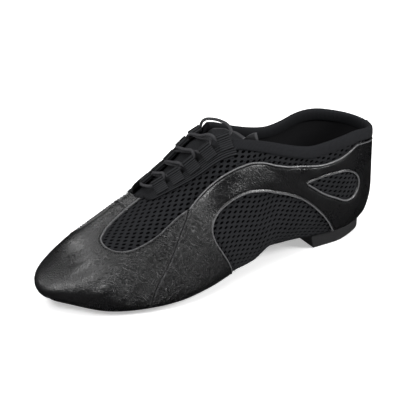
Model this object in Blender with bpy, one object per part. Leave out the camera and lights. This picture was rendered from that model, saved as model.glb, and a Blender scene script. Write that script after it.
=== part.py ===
import math

import bmesh
import bpy
import numpy as np
from mathutils import Vector
from mathutils.geometry import delaunay_2d_cdt

# Left jazz shoe in millimetres, toe to +X, outer side to +Y, standing on z = 0.
MM = 0.001

# Driving sizes of the last
LENGTH = 248 * MM
BALL_WIDTH = 88 * MM
CROWN_HEIGHT = 92 * MM
COLLAR_HEIGHT = 78 * MM
TOE_SPRING = 7.0 * MM
EDGE_ROUND = 1.2 * MM

# Sole pieces
SOLE_THICKNESS = 2.2 * MM
HEEL_HEIGHT = 9.7 * MM
HEEL_LENGTH = 55 * MM
HEEL_BREAST_SLOPE = 2 * MM
SOLE_EDGE_INSET = 3.0 * MM
INSOLE_THICKNESS = 2.0 * MM
INSOLE_EDGE_INSET = 5.5 * MM

# Upper and what is sewn on it
WALL = 1.4 * MM
LASTING_MARGIN = 11 * MM
LEATHER = 1.0 * MM
BINDING = 0.9 * MM
BINDING_WIDTH = 6.5 * MM
EYESTAY = 0.9 * MM
EYESTAY_BACK_WIDTH = 9.5 * MM
EYESTAY_FRONT_WIDTH = 6.0 * MM
GAP = 0.3 * MM
SEWN_GAP = 0.4 * MM
BINDING_GAP = 0.5 * MM

# Throat, tongue and lacing
THROAT_BACK_HALF = 19.0 * MM
THROAT_FRONT_HALF = 7.5 * MM
TONGUE_THICKNESS = 1.6 * MM
TONGUE_TUCK = 9.0 * MM
TONGUE_SAG = 17 * MM
LOOP_COUNT = 5
LOOP_LENGTH = 8.0 * MM
LOOP_HOLE = 1.5 * MM
LACE_RADIUS = 0.9 * MM
LACE_ARCH = 9.5 * MM

# Spacing of the points of the sewn-on pieces
OUTLINE_STEP = 4.8 * MM
INSIDE_CLEAR = 1.5 * MM
INSIDE_ROWS = (0.020, 0.048, 0.085, 0.135, 0.195, 0.265, 0.345, 0.430, 0.520,
               0.610, 0.700, 0.790)
CROWN_ROWS = (0.860, 0.930)
RIDGE_END = 9.2
RIDGE_STEP = 0.2
TOE_STEP = 0.5
SQUEEZED_ABOVE = 0.4

FOREFOOT_SEAT = SOLE_THICKNESS + GAP
HEEL_SEAT = HEEL_HEIGHT + GAP
ARCH_RISE = HEEL_SEAT - FOREFOOT_SEAT

# Plan of the last, a row for each section from the back of the heel to the tip of the toe.
# "at" counts along LENGTH, "out" across in shares of BALL_WIDTH: the spine that each section
# turns about, and its widest point on the outer and the inner side.
SECTION_COLUMNS = ("name", "spine_at", "spine_out", "outer_at", "outer_out", "inner_at", "inner_out")
SECTIONS = (
    ("heel_back", 0.125, 0.000, 0.000, 0.000, 0.000, 0.000),
    ("heel_corner", 0.125, 0.000, 0.028, 0.170, 0.028, -0.185),
    ("heel_side", 0.135, 0.000, 0.130, 0.310, 0.130, -0.325),
    ("waist_back", 0.250, 0.000, 0.250, 0.335, 0.250, -0.345),
    ("waist", 0.380, 0.000, 0.380, 0.376, 0.380, -0.340),
    ("arch_front", 0.500, -0.025, 0.500, 0.430, 0.500, -0.370),
    ("joint_back", 0.600, -0.060, 0.595, 0.490, 0.610, -0.430),
    ("joint", 0.690, -0.085, 0.680, 0.510, 0.710, -0.470),
    ("toe_side", 0.780, -0.085, 0.770, 0.482, 0.800, -0.450),
    ("toe_corner", 0.850, -0.075, 0.875, 0.368, 0.890, -0.338),
    ("toe_front", 0.860, -0.070, 0.960, 0.150, 0.962, -0.243),
    ("toe_tip", 0.860, -0.070, 1.000, -0.015, 1.000, -0.015),
)
TOE_ROW = len(SECTIONS) - 1
ROUND = 2 * TOE_ROW

# Side of the last at some of those sections: how far the bottom edge lies inside the widest
# point (share of BALL_WIDTH), the edge's lift over the underside (share of ARCH_RISE) and the
# height of the widest point (share of CROWN_HEIGHT).
SIDE_COLUMNS = ("section", "inset", "outer_lift", "outer_widest", "inner_lift", "inner_widest")
SIDES = (
    (0, 0.060, 0.00, 0.400, 0.00, 0.400),
    (2, 0.050, 0.00, 0.330, 0.00, 0.330),
    (3, 0.070, 0.10, 0.330, 0.30, 0.340),
    (3.6, 0.090, 0.42, 0.315, 0.50, 0.342),
    (4, 0.095, 0.66, 0.300, 0.60, 0.340),
    (4.35, 0.085, 0.22, 0.280, 0.62, 0.325),
    (5, 0.080, 0.26, 0.240, 0.60, 0.290),
    (6, 0.070, 0.14, 0.190, 0.22, 0.210),
    (7, 0.060, 0.00, 0.150, 0.03, 0.160),
    (9, 0.055, 0.00, 0.142, 0.00, 0.142),
    (11, 0.045, 0.00, 0.175, 0.00, 0.175),
)

# Underside along the middle, in shares of ARCH_RISE and of TOE_SPRING
SHANK_START = 0.24
SHANK_END = 0.62
SPRING_START = 0.79

# Ridge of the crown: place along LENGTH, height (share of CROWN_HEIGHT), fullness of the section
CROWN_COLUMNS = ("at", "height", "fullness")
CROWN = (
    (0.00, 1.350, 3.40),
    (0.20, 1.350, 3.30),
    (0.32, 1.250, 3.00),
    (0.42, 1.100, 2.60),
    (0.50, 1.010, 2.30),
    (0.58, 0.815, 2.10),
    (0.66, 0.669, 2.05),
    (0.74, 0.557, 2.10),
    (0.82, 0.457, 2.15),
    (0.90, 0.380, 2.20),
    (0.96, 0.276, 2.20),
    (1.00, 0.199, 2.20),
)
SIDE_BULGE = 2.2

# Topline: place along LENGTH, height on the outer and the inner side (shares of COLLAR_HEIGHT)
TOPLINE_COLUMNS = ("at", "outer_height", "inner_height")
TOPLINE = (
    (0.00, 0.930, 0.930),
    (0.05, 0.975, 0.965),
    (0.10, 1.015, 0.987),
    (0.15, 1.022, 0.970),
    (0.20, 1.012, 0.924),
    (0.25, 1.008, 0.906),
    (0.30, 1.045, 0.939),
    (0.34, 1.090, 0.985),
    (0.38, 1.135, 1.041),
    (0.42, 1.165, 1.105),
    (0.46, 1.180, 1.162),
    (0.52, 1.185, 1.185),
)

# Throat: its two ends along LENGTH and its middle across, in shares of BALL_WIDTH
THROAT_BACK = 0.47
THROAT_FRONT = 0.695
THROAT_BACK_OUT = -0.034
THROAT_FRONT_OUT = -0.130
THROAT_END_ROUND = 0.02

# Seams, as (section, share of the way from the bottom edge up to the crown)
FRONT_SEAM = ((8.05, 0.0), (8.00, 0.145), (7.83, 0.245), (7.50, 0.335), (7.12, 0.434),
              (6.78, 0.525), (6.55, 0.575), (6.28, 0.648))
BAND_TOP = ((6.28, 0.648), (5.93, 0.680), (5.65, 0.694), (5.35, 0.694), (5.03, 0.685),
            (4.72, 0.677), (4.48, 0.667), (4.23, 0.631), (3.95, 0.567), (3.65, 0.515),
            (3.35, 0.481), (3.00, 0.447), (2.70, 0.432), (2.35, 0.433), (2.05, 0.452),
            (1.75, 0.476), (1.48, 0.495), (0.80, 0.520), (0.00, 0.530))
ARCH_WINDOW = ((2.35, 0.0), (2.68, 0.114), (2.98, 0.196), (3.33, 0.278), (3.65, 0.338),
               (3.98, 0.396), (4.30, 0.464), (4.60, 0.501), (4.95, 0.515), (5.28, 0.518),
               (5.58, 0.508), (5.77, 0.475), (5.86, 0.425), (5.83, 0.365), (5.68, 0.285),
               (5.45, 0.181), (5.27, 0.092), (5.10, 0.0))
HEEL_WINDOW = ((3.18, 0.359), (2.82, 0.359), (2.43, 0.353), (2.06, 0.339), (1.82, 0.308),
               (1.69, 0.265), (1.70, 0.223), (1.86, 0.188), (2.07, 0.185), (2.41, 0.222),
               (2.76, 0.273), (3.00, 0.321))
OUTER_MESH_EDGE = ((6.28, 0.648), (6.60, 0.642), (6.95, 0.620), (7.38, 0.588), (7.85, 0.573),
                   (8.18, 0.578), (8.40, 0.605), (8.58, 0.660), (8.68, 0.738), (8.66, 0.825),
                   (8.40, 0.895), (7.90, 0.938), (7.53, 0.955), (7.05, 0.958))
INNER_MESH_EDGE = ((15.02, 0.845), (14.55, 0.812), (14.10, 0.800), (13.65, 0.765), (13.38, 0.710),
                   (13.30, 0.630), (13.36, 0.560), (13.55, 0.510), (13.85, 0.480), (14.15, 0.475),
                   (14.60, 0.495), (15.05, 0.535), (15.45, 0.570), (15.72, 0.590))
INNER_FRONT_SEAM = ((15.72, 0.590), (15.45, 0.530), (15.22, 0.480), (14.88, 0.400),
                    (14.50, 0.310), (14.17, 0.230), (14.00, 0.140), (13.95, 0.0))
SEAM_CLEAR = 0.016
THROAT_BASE = 7.12

# Cross-section of a lace loop: flat tail on the eyestay, round eye over the throat
LOOP_TAIL = 5.5 * MM
LOOP_TAIL_THICKNESS = 1.2 * MM
LOOP_EYE_REACH = 3.2 * MM
LOOP_EYE_WALL = 0.55 * MM
LOOP_EYE_TURN = (60, 330)
LOOP_SIDES = 8
LOOP_BACK = 0.488
LOOP_PITCH = 0.0392
LOOP_STEP = 0.12

COLORS = {
    "mesh": (0.018, 0.019, 0.022),
    "leather": (0.030, 0.030, 0.032),
    "elastic": (0.026, 0.026, 0.028),
    "lining": (0.012, 0.012, 0.014),
    "rubber": (0.020, 0.020, 0.021),
    "cord": (0.035, 0.035, 0.037),
}
ROUGHNESS = {"mesh": 0.85, "leather": 0.42, "elastic": 0.9, "lining": 0.9, "rubber": 0.7, "cord": 0.8}


def smooth(knots, values, at, closed=False):
    # Curve through the rows of a table whose knots may stand at uneven places
    knots = np.asarray(knots, float)
    values = np.asarray(values, float).reshape(len(knots), -1)
    at = np.atleast_1d(np.asarray(at, float))
    if closed:
        turn = knots[-1] - knots[0]
        knots = np.r_[knots[-2] - turn, knots, knots[1] + turn]
        values = np.vstack([values[-2], values, values[1]])
        at = (at - knots[1]) % turn + knots[1]
    else:
        knots = np.r_[2 * knots[0] - knots[1], knots, 2 * knots[-1] - knots[-2]]
        values = np.vstack([2 * values[0] - values[1], values, 2 * values[-1] - values[-2]])
        at = np.clip(at, knots[1], knots[-2])
    row = np.clip(np.searchsorted(knots, at, side="right") - 1, 1, len(knots) - 3)
    step = (knots[row + 1] - knots[row])[:, None]

    def slope(k):
        before = (knots[k] - knots[k - 1])[:, None]
        after = (knots[k + 1] - knots[k])[:, None]
        rise = (values[k] - values[k - 1]) / before * after
        fall = (values[k + 1] - values[k]) / after * before
        return (rise + fall) / (before + after)

    f = (at - knots[row])[:, None] / step
    return ((2 * f**3 - 3 * f**2 + 1) * values[row] + (f**3 - 2 * f**2 + f) * step * slope(row)
            + (3 * f**2 - 2 * f**3) * values[row + 1] + (f**3 - f**2) * step * slope(row + 1))


def ease(t):
    t = np.clip(t, 0.0, 1.0)
    return t * t * (3 - 2 * t)


def crown(x):
    # Height of the ridge and fullness of the section under it
    table = np.array(CROWN)
    row = smooth(table[:, 0], table[:, 1:], np.ravel(x) / LENGTH)
    return row[:, 0].reshape(np.shape(x)) * CROWN_HEIGHT, row[:, 1].reshape(np.shape(x))


def underside(x):
    at = x / LENGTH
    heel = 1 - ease((at - SHANK_START) / (SHANK_END - SHANK_START))
    toe = np.clip((at - SPRING_START) / (1 - SPRING_START), 0, 1) ** 2
    return FOREFOOT_SEAT + heel * ARCH_RISE + toe * TOE_SPRING


def plan(section):
    # Widest point, spine point, inset of the bottom edge, its lift and the widest point's height,
    # for sections counted all the way round: up the outer side to the toe and back on the inner
    section = np.atleast_1d(np.asarray(section, float)) % ROUND
    rows = np.array([row[1:] for row in SECTIONS])
    outer, inner = rows[:, 2:4], rows[:, 4:6]
    loop = np.vstack([outer, inner[-2:0:-1], outer[:1]])
    wide = smooth(np.arange(ROUND + 1), loop, section, closed=True) * [LENGTH, BALL_WIDTH]
    near = np.where(section <= TOE_ROW, section, ROUND - section)
    counts = np.arange(TOE_ROW + 1)
    spine = np.stack([np.interp(near, counts, rows[:, k]) for k in (0, 1)], 1) * [LENGTH, BALL_WIDTH]
    side = np.array(SIDES)
    knots = np.r_[side[:, 0], ROUND - side[-2:0:-1, 0], ROUND]
    pairs = ((1, 1), (2, 4), (3, 5))
    columns = [np.r_[side[:, a], side[-2:0:-1, b], side[0, a]] for a, b in pairs]
    inset, lift, widest = smooth(knots, np.stack(columns, 1), section, closed=True).T
    return wide, spine, inset * BALL_WIDTH, np.maximum(lift, 0) * ARCH_RISE, widest * CROWN_HEIGHT


UNDER_STEPS = 14
SIDE_STEPS = 12
CROWN_STEPS = 48
UNDER_ROUND_FROM = 0.8


def columns(section):
    # Points of each section's outline: under the foot, up the side, over to the ridge
    wide, spine, inset, lift, wide_z = plan(section)
    reach = np.linalg.norm(wide - spine, axis=1)
    away = (wide - spine) / reach[:, None]
    edge = reach - inset
    rows = []
    for step in range(UNDER_STEPS):
        t = step / UNDER_STEPS
        point = spine + away * (edge * t)[:, None]
        turn = max(0.0, (t - UNDER_ROUND_FROM) / (1 - UNDER_ROUND_FROM)) ** 2
        rows.append(np.column_stack([point, underside(point[:, 0]) + lift * t * t + EDGE_ROUND * turn]))
    corner = spine + away * edge[:, None]
    edge_z = underside(corner[:, 0]) + lift + EDGE_ROUND
    for step in range(SIDE_STEPS):
        fall = 1 - step / SIDE_STEPS
        point = spine + away * (reach - inset * fall**SIDE_BULGE)[:, None]
        rows.append(np.column_stack([point, wide_z - (wide_z - edge_z) * fall]))
    fullness = crown(spine[:, 0])[1]
    for step in range(CROWN_STEPS + 1):
        turn = step / CROWN_STEPS * math.pi / 2
        across = math.cos(turn) ** (2 / fullness) if step < CROWN_STEPS else 0 * fullness
        rise = math.sin(turn) ** (2 / fullness)
        point = spine + away * (reach * across)[:, None]
        rows.append(np.column_stack([point, wide_z + (crown(point[:, 0])[0] - wide_z) * rise]))
    return np.stack(rows, 1)


def ups(outline):
    # Share of the way for each outline point: -1 at the spine below, 0 at the edge, 1 at the ridge
    run = np.linalg.norm(np.diff(outline, axis=1), axis=2)
    run = np.concatenate([np.zeros((len(outline), 1)), np.cumsum(run, 1)], 1)
    below, above = run[:, UNDER_STEPS:UNDER_STEPS + 1], run[:, -1:]
    over = np.clip((run - below) / (above - below), 0, 1)
    return np.where(run < below, run / below - 1, over), (above - below)[:, 0]


def place(section, up):
    section = np.atleast_1d(np.asarray(section, float))
    up = np.broadcast_to(np.asarray(up, float), section.shape)
    outline = columns(section)
    shares, _ = ups(outline)
    return np.array([[np.interp(u, s, o[:, k]) for k in range(3)]
                     for u, s, o in zip(up, shares, outline)])


def girth(section):
    # Length of the way from the bottom edge up to the ridge
    return ups(columns(np.atleast_1d(section)))[1]


NORMAL_UP = 0.015
NORMAL_SECTION = 0.04
POLE = 0.94


def on_last(section, up, out):
    # Point of the last, moved out along its normal
    section = np.atleast_1d(np.asarray(section, float))
    up = np.broadcast_to(np.asarray(up, float), section.shape)
    out = np.broadcast_to(np.asarray(out, float), section.shape)
    climb = place(section, np.minimum(up + NORMAL_UP, 1)) - place(section, np.maximum(up - NORMAL_UP, -1))
    off_pole = np.clip(up, -POLE, POLE)
    along = place(section + NORMAL_SECTION, off_pole) - place(section - NORMAL_SECTION, off_pole)
    normal = np.cross(climb, along)
    normal /= np.linalg.norm(normal, axis=1)[:, None]
    return place(section, up) + normal * out[:, None]


TOP_CHART_FADE = 1.2


def top_chart(section, up):
    # Flat map spread out from the spine, nearly true to scale along the bottom edge
    wide, spine, _, _, _ = plan(section)
    faded = math.exp(-TOP_CHART_FADE)
    share = (np.exp(-TOP_CHART_FADE * np.asarray(up, float)) - faded) / (1 - faded)
    return spine + (wide - spine) * share[:, None]


def side_chart(section, up):
    # Flat map unrolled along the widest line, for pieces that stay on one side
    steps = np.arange(0, ROUND + 0.01, 0.1)
    line = plan(steps)[0]
    line[-1] = line[0]
    run = np.r_[0, np.cumsum(np.linalg.norm(np.diff(line, axis=0), axis=1))]
    return np.column_stack([np.interp(section, steps, run), np.asarray(up, float) * girth(section)])


def throat(x):
    # Middle and half width of the throat's opening
    at = x / LENGTH
    t = np.clip((at - THROAT_BACK) / (THROAT_FRONT - THROAT_BACK), 0, 1)
    middle = (THROAT_BACK_OUT + (THROAT_FRONT_OUT - THROAT_BACK_OUT) * t) * BALL_WIDTH
    half = THROAT_BACK_HALF + (THROAT_FRONT_HALF - THROAT_BACK_HALF) * t
    end = np.clip((THROAT_FRONT - at) / THROAT_END_ROUND, 0, 1)
    return middle, half * np.sqrt(1 - (1 - end) ** 2)


RIM_SAMPLES = 400
TOPLINE_OVERLAP = 0.05


def first_crossing(tries, value):
    over = np.flatnonzero(value > 0)
    if not len(over):
        return 1.0
    k = over[0]
    if k == 0 or value[k - 1] <= -1.0:
        return tries[k]
    return tries[k - 1] + (tries[k] - tries[k - 1]) * value[k - 1] / (value[k - 1] - value[k])


def rim(section):
    # Where each section ends: at the topline, at the throat, or at the ridge where it is closed
    section = np.atleast_1d(np.asarray(section, float))
    table = np.array(TOPLINE)
    tries = np.linspace(0, 1, RIM_SAMPLES)
    found = []
    for count, outline in zip(section % ROUND, columns(section)):
        shares = ups(outline[None])[0][0]
        points = np.stack([np.interp(tries, shares, outline[:, k]) for k in range(3)], 1)
        x, y, z = points.T
        height = table[:, 1 if count <= TOE_ROW else 2]
        top = smooth(table[:, 0], height, x / LENGTH)[:, 0] * COLLAR_HEIGHT
        middle, half = throat(x)
        above = np.where(x / LENGTH < THROAT_BACK + TOPLINE_OVERLAP, z - top, -1.0)
        inside = np.where(x / LENGTH > THROAT_BACK, half - np.abs(y - middle), -1.0)
        found.append(min(first_crossing(tries, above), first_crossing(tries, inside)))
    return np.array(found)


def material(kind):
    found = bpy.data.materials.get(kind)
    if found is None:
        found = bpy.data.materials.new(kind)
        found.use_nodes = True
        shader = found.node_tree.nodes["Principled BSDF"]
        shader.inputs["Base Color"].default_value = COLORS[kind] + (1.0,)
        shader.inputs["Roughness"].default_value = ROUGHNESS[kind]
        shader.inputs["Metallic"].default_value = 0.0
    return found


def add_object(name, points, faces, kind):
    mesh = bpy.data.meshes.new(name)
    mesh.from_pydata([tuple(p) for p in points], [], faces)
    work = bmesh.new()
    work.from_mesh(mesh)
    bmesh.ops.triangulate(work, faces=work.faces[:])
    if work.calc_volume(signed=True) < 0:
        bmesh.ops.reverse_faces(work, faces=work.faces[:])
    work.to_mesh(mesh)
    work.free()
    mesh.shade_smooth()
    mesh.set_sharp_from_angle(angle=math.radians(40))
    made = bpy.data.objects.new(name, mesh)
    made.data.materials.append(material(kind))
    bpy.context.scene.collection.objects.link(made)
    return made


def slab(name, high, low, faces, kind):
    # Closed body between two copies of one net of faces, walled along the net's border
    faces = [tuple(face) for face in faces]
    seen = {}
    for face in faces:
        for a, b in zip(face, face[1:] + face[:1]):
            seen[(a, b)] = True
    count = len(high)
    walls = [(b, a, a + count, b + count) for a, b in seen if (b, a) not in seen]
    under = [tuple(v + count for v in reversed(face)) for face in faces]
    points = list(high) + list(low)
    used = sorted({v for face in faces + walls + under for v in face})
    order = {v: k for k, v in enumerate(used)}
    closed = [tuple(order[v] for v in face) for face in faces + walls + under]
    return add_object(name, [points[v] for v in used], closed, kind)


CLIMB = 1.35


def net(sections, lows, highs, below, above):
    # Grid over the last from each section's low to its high share, joined across the spine and
    # the ridge wherever the grid reaches them
    keys, index, rows = [], {}, []
    for section, low, high in zip(sections, lows, highs):
        if low < 0 < high:
            ladder = np.r_[np.linspace(low, 0, below + 1)[:-1], high * np.linspace(0, 1, above + 1) ** CLIMB]
        else:
            ladder = low + (high - low) * (1 - (1 - np.linspace(0, 1, below + 1)) ** CLIMB)
        row = []
        for up in ladder:
            key = (round(float(section), 4), round(float(up), 5))
            if abs(up) > 0.99999:
                spine = plan([section])[1][0]
                key = (round(float(spine[0]), 5), "ridge" if up > 0 else "spine")
            if key not in index:
                index[key] = len(keys)
                keys.append((section, up))
            row.append(index[key])
        rows.append(row)
    return np.array(keys), rows


def net_faces(rows, closed):
    faces = []
    last = len(rows) if closed else len(rows) - 1
    for k in range(last):
        here, there = rows[k], rows[(k + 1) % len(rows)]
        for a in range(len(here) - 1):
            face = []
            for v in (here[a], here[a + 1], there[a + 1], there[a]):
                if v not in face:
                    face.append(v)
            if len(face) > 2:
                faces.append(tuple(face))
    return faces


def mirror(outline):
    return [(ROUND - section, up) for section, up in outline]


def trace(rows):
    # Even points on a smooth curve through (section, up) rows, measured on the last
    rows = np.array(rows, float)
    spots = place(rows[:, 0], rows[:, 1])
    run = np.r_[0, np.cumsum(np.linalg.norm(np.diff(spots, axis=0), axis=1))]
    count = max(2, int(round(run[-1] / OUTLINE_STEP)))
    return smooth(run, rows, np.linspace(0, run[-1], count + 1))


def is_inside(spots, loop):
    x, y = spots[:, 0][:, None], spots[:, 1][:, None]
    ax, ay = loop[:, 0][None], loop[:, 1][None]
    bx, by = np.roll(loop[:, 0], -1)[None], np.roll(loop[:, 1], -1)[None]
    crosses = (ay > y) != (by > y)
    slope = (bx - ax) / np.where(by == ay, 1e-12, by - ay)
    return (crosses & (x < ax + (y - ay) * slope)).sum(1) % 2 == 1


def away_from(spots, loop):
    start, end = loop, np.roll(loop, -1, axis=0)
    run = end - start
    t = ((spots[:, None] - start) * run).sum(2) / np.maximum((run**2).sum(1), 1e-14)
    nearest = start + np.clip(t, 0, 1)[..., None] * run
    return np.linalg.norm(spots[:, None] - nearest, axis=2).min(1)


def fill(loops, extra):
    # Triangles of a flat shape: the first loop is its border, the others are holes
    spots = np.vstack(loops + [extra]) if len(extra) else np.vstack(loops)
    edges, start = [], 0
    for loop in loops:
        edges += [(start + k, start + (k + 1) % len(loop)) for k in range(len(loop))]
        start += len(loop)
    result = delaunay_2d_cdt([Vector(p) for p in spots], edges, [], 0, 1e-8)
    flat = np.array([tuple(v) for v in result[0]])
    origin = [ids[0] for ids in result[3]]
    faces = np.array([f[:3] for f in result[2]])
    middle = flat[faces].mean(1)
    keep = is_inside(middle, loops[0])
    for hole in loops[1:]:
        keep &= ~is_inside(middle, hole)
    return [tuple(origin[v] for v in face) for face in faces[keep]]


def sewn(name, runs, holes, chart, out, thickness, kind):
    # Piece cut on the flat map and laid on the last: runs are its border, corner to corner
    border = np.vstack([trace(run)[:-1] for run in runs])
    loops = [border] + [trace(list(hole) + [hole[0]])[:-1] for hole in holes]
    flat = [chart(loop[:, 0], loop[:, 1]) for loop in loops]
    grid = [(section, up) for section in STATIONS for up in INSIDE_ROWS]
    ridge = np.arange(THROAT_BASE + RIDGE_STEP / 2, RIDGE_END, RIDGE_STEP)
    toe = np.arange(RIDGE_END + TOE_STEP / 2, ROUND - RIDGE_END, TOE_STEP)
    grid += [(section, up) for section in np.r_[ridge, toe, ROUND - ridge] for up in CROWN_ROWS]
    grid += [(section, 1.0) for section in ridge]
    grid = np.array(grid)
    spots = chart(grid[:, 0], grid[:, 1])
    clear = INSIDE_CLEAR * np.clip((1 - grid[:, 1]) / SQUEEZED_ABOVE, 0, 1)
    keep = is_inside(spots, flat[0]) & (away_from(spots, flat[0]) > clear)
    for hole in flat[1:]:
        keep &= ~is_inside(spots, hole) & (away_from(spots, hole) > clear)
    faces = fill(flat, spots[keep])
    keys = np.vstack(loops + [grid[keep]])
    high = on_last(keys[:, 0], keys[:, 1], out + thickness)
    low = on_last(keys[:, 0], keys[:, 1], out)
    return slab(name, high, low, faces, kind)


# Upper: one hollow body, open at the collar and throat and under the two sole pieces
OUTER_STATIONS = np.r_[np.arange(0, 8) / 4, np.arange(6, 20) / 3, 6.67, 6.86, 7.0, 7.08,
                       np.arange(22, 27) / 3, np.arange(36, 44) / 4]
STATIONS = np.r_[OUTER_STATIONS, TOE_ROW, ROUND - OUTER_STATIONS[:0:-1]]
INSOLE_STATIONS = np.r_[OUTER_STATIONS[::2], TOE_ROW, ROUND - OUTER_STATIONS[::2][:0:-1]]
FOREFOOT_OPEN_FROM = 6.0
HEEL_OPEN_TO = 2.6
OPEN_BLEND = 0.8
UPPER_BELOW = 3
UPPER_ABOVE = 10


def opening_low(section):
    # Inner edge of the margin that is turned under the foot
    wide, spine, inset, _, _ = plan(section)
    edge = np.linalg.norm(wide - spine, axis=1) - inset
    near = np.where(section <= TOE_ROW, section, ROUND - section)
    forefoot = ease((near - FOREFOOT_OPEN_FROM) / OPEN_BLEND)
    heel = ease((HEEL_OPEN_TO - near) / OPEN_BLEND)
    share = np.maximum(forefoot, heel)
    return -1 + share * (1 - LASTING_MARGIN / edge)


def make_upper():
    keys, rows = net(STATIONS, opening_low(STATIONS), rim(STATIONS), UPPER_BELOW, UPPER_ABOVE)
    high = on_last(keys[:, 0], keys[:, 1], 0.0)
    low = on_last(keys[:, 0], keys[:, 1], -WALL)
    slab("upper", high, low, net_faces(rows, closed=True), "mesh")


def shifted(outline, amount):
    return [(section + amount, up) for section, up in outline]


BAND_SAMPLES = 70
TRIM_CLEAR = 1.5 * MM


def under_trim(section, up):
    # Leather stops just below the binding or the eyestay where the two would meet
    near = min(section % ROUND, -section % ROUND)
    width = BINDING_WIDTH if near < BINDING_END else float(eyestay_width(near))
    lowest = rim(section) - (width + TRIM_CLEAR) / girth(section)
    return min(up, float(lowest[0]))


def make_leather():
    runs = [shifted(FRONT_SEAM, SEAM_CLEAR), shifted(OUTER_MESH_EDGE[:2], SEAM_CLEAR)
            + list(OUTER_MESH_EDGE[2:])]
    runs.append([OUTER_MESH_EDGE[-1], (THROAT_BASE, 1.0)])
    runs.append([(ROUND - THROAT_BASE, 1.0), INNER_MESH_EDGE[0]])
    runs.append(list(INNER_MESH_EDGE[:-2]) + shifted(INNER_MESH_EDGE[-2:], -SEAM_CLEAR))
    runs.append(shifted(INNER_FRONT_SEAM, -SEAM_CLEAR))
    ends = [FRONT_SEAM[0][0] + SEAM_CLEAR, INNER_FRONT_SEAM[-1][0] - SEAM_CLEAR]
    bottom = np.linspace(ends[1], ends[0], 9)
    runs.append([(section, 0.0) for section in bottom])
    sewn("vamp", runs, [], top_chart, SEWN_GAP, LEATHER, "leather")

    back_seam = SEAM_CLEAR
    seam = list(FRONT_SEAM)
    inner_seam = [(ROUND - section, up) for section, up in INNER_FRONT_SEAM][::-1]
    for name, flip, front in (("quarter_outer", False, seam), ("quarter_inner", True, inner_seam)):
        front = shifted(front, -SEAM_CLEAR)
        rows = np.array([front[-1], *BAND_TOP[1:-1], (back_seam, BAND_TOP[-1][1])])
        rows = smooth(np.arange(len(rows)), rows, np.linspace(0, len(rows) - 1, BAND_SAMPLES))
        band = [(s, under_trim(ROUND - s if flip else s, up)) for s, up in rows]
        front[-1], corner = band[0], band[-1]
        window = list(ARCH_WINDOW)
        runs = [front, band, [corner, (back_seam, corner[1] / 2), (back_seam, 0.0)],
                [(s, 0.0) for s in np.linspace(back_seam, window[0][0], 5)], window,
                [(s, 0.0) for s in np.linspace(window[-1][0], front[0][0], 5)]]
        hole = list(HEEL_WINDOW)
        if flip:
            runs = [mirror(run) for run in runs]
            hole = mirror(hole)
        sewn(name, runs, [hole], side_chart, SEWN_GAP, LEATHER, "leather")


BINDING_END = 4.7


def make_binding():
    # Knit strip folded over the topline, from the near corner of the throat round the heel
    near = OUTER_STATIONS[OUTER_STATIONS < BINDING_END]
    sections = np.r_[ROUND - near[:0:-1], near]
    over = BINDING_GAP + BINDING
    outer = ((-BINDING_WIDTH, over), (BINDING_GAP, over), (over, -WALL / 2),
             (BINDING_GAP, -WALL - over), (-BINDING_WIDTH, -WALL - over))
    inner = ((-BINDING_WIDTH, BINDING_GAP), (BINDING_GAP, BINDING_GAP), (BINDING_GAP, -WALL / 2),
             (BINDING_GAP, -WALL - BINDING_GAP), (-BINDING_WIDTH, -WALL - BINDING_GAP))
    tops, lengths = rim(sections), girth(sections)
    high, low = [], []
    for path, store in ((outer, high), (inner, low)):
        laid = [on_last(sections, tops + along / lengths, out) for along, out in path]
        store.extend(np.stack(laid, 1).reshape(-1, 3))
    width = len(outer)
    rows = [[k * width + j for j in range(width)] for k in range(len(sections))]
    slab("collar_binding", high, low, net_faces(rows, closed=False), "elastic")


EYESTAY_BACK = 4.86
EYESTAY_FRONT = 6.98
EYESTAY_ROWS = 10
EYESTAY_ACROSS = 3
RIM_TRIES = 97


def eyestay_width(near):
    t = np.clip((near - EYESTAY_BACK) / (EYESTAY_FRONT - EYESTAY_BACK), 0, 1)
    return EYESTAY_BACK_WIDTH + (EYESTAY_FRONT_WIDTH - EYESTAY_BACK_WIDTH) * t


def make_eyestays():
    for name, flip in (("eyestay_outer", False), ("eyestay_inner", True)):
        sections = np.linspace(EYESTAY_BACK, EYESTAY_FRONT, EYESTAY_ROWS)
        width = eyestay_width(sections)
        sections = ROUND - sections if flip else sections
        top, length = rim(sections), girth(sections)
        keys = np.array([(s, u - (GAP + w * k / EYESTAY_ACROSS) / g)
                         for s, u, w, g in zip(sections, top, width, length)
                         for k in range(EYESTAY_ACROSS + 1)])
        count = EYESTAY_ACROSS + 1
        rows = [[k * count + j for j in range(count)] for k in range(EYESTAY_ROWS)]
        high = on_last(keys[:, 0], keys[:, 1], GAP + EYESTAY)
        low = on_last(keys[:, 0], keys[:, 1], GAP)
        slab(name, high, low, net_faces(rows, closed=False), "elastic")


def rim_section(at, flip):
    # Section whose throat edge stands at the given place along LENGTH
    sections = np.linspace(BINDING_END, EYESTAY_FRONT, RIM_TRIES)
    sections = ROUND - sections if flip else sections
    edge = place(sections, rim(sections))
    return float(np.interp(at * LENGTH, edge[:, 0], sections))


def loop_frame(count, flip):
    # Origin on the throat's edge, direction to the toe, across to the middle, and off the surface
    section = rim_section(LOOP_BACK + LOOP_PITCH * count, flip)
    spots = np.array([section - LOOP_STEP, section, section + LOOP_STEP])
    tops = rim(spots)
    height = GAP + EYESTAY + GAP
    base = on_last(spots, tops, height)
    toward = base[2] - base[0] if not flip else base[0] - base[2]
    toward /= np.linalg.norm(toward)
    lifted = on_last(spots[1:2], tops[1:2], height + MM)[0]
    off = lifted - base[1]
    off -= toward * off.dot(toward)
    off /= np.linalg.norm(off)
    across = np.cross(toward, off) if not flip else np.cross(off, toward)
    if across[1] * (1 if not flip else -1) > 0:
        across = -across
    return base[1], toward, across, off


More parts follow.
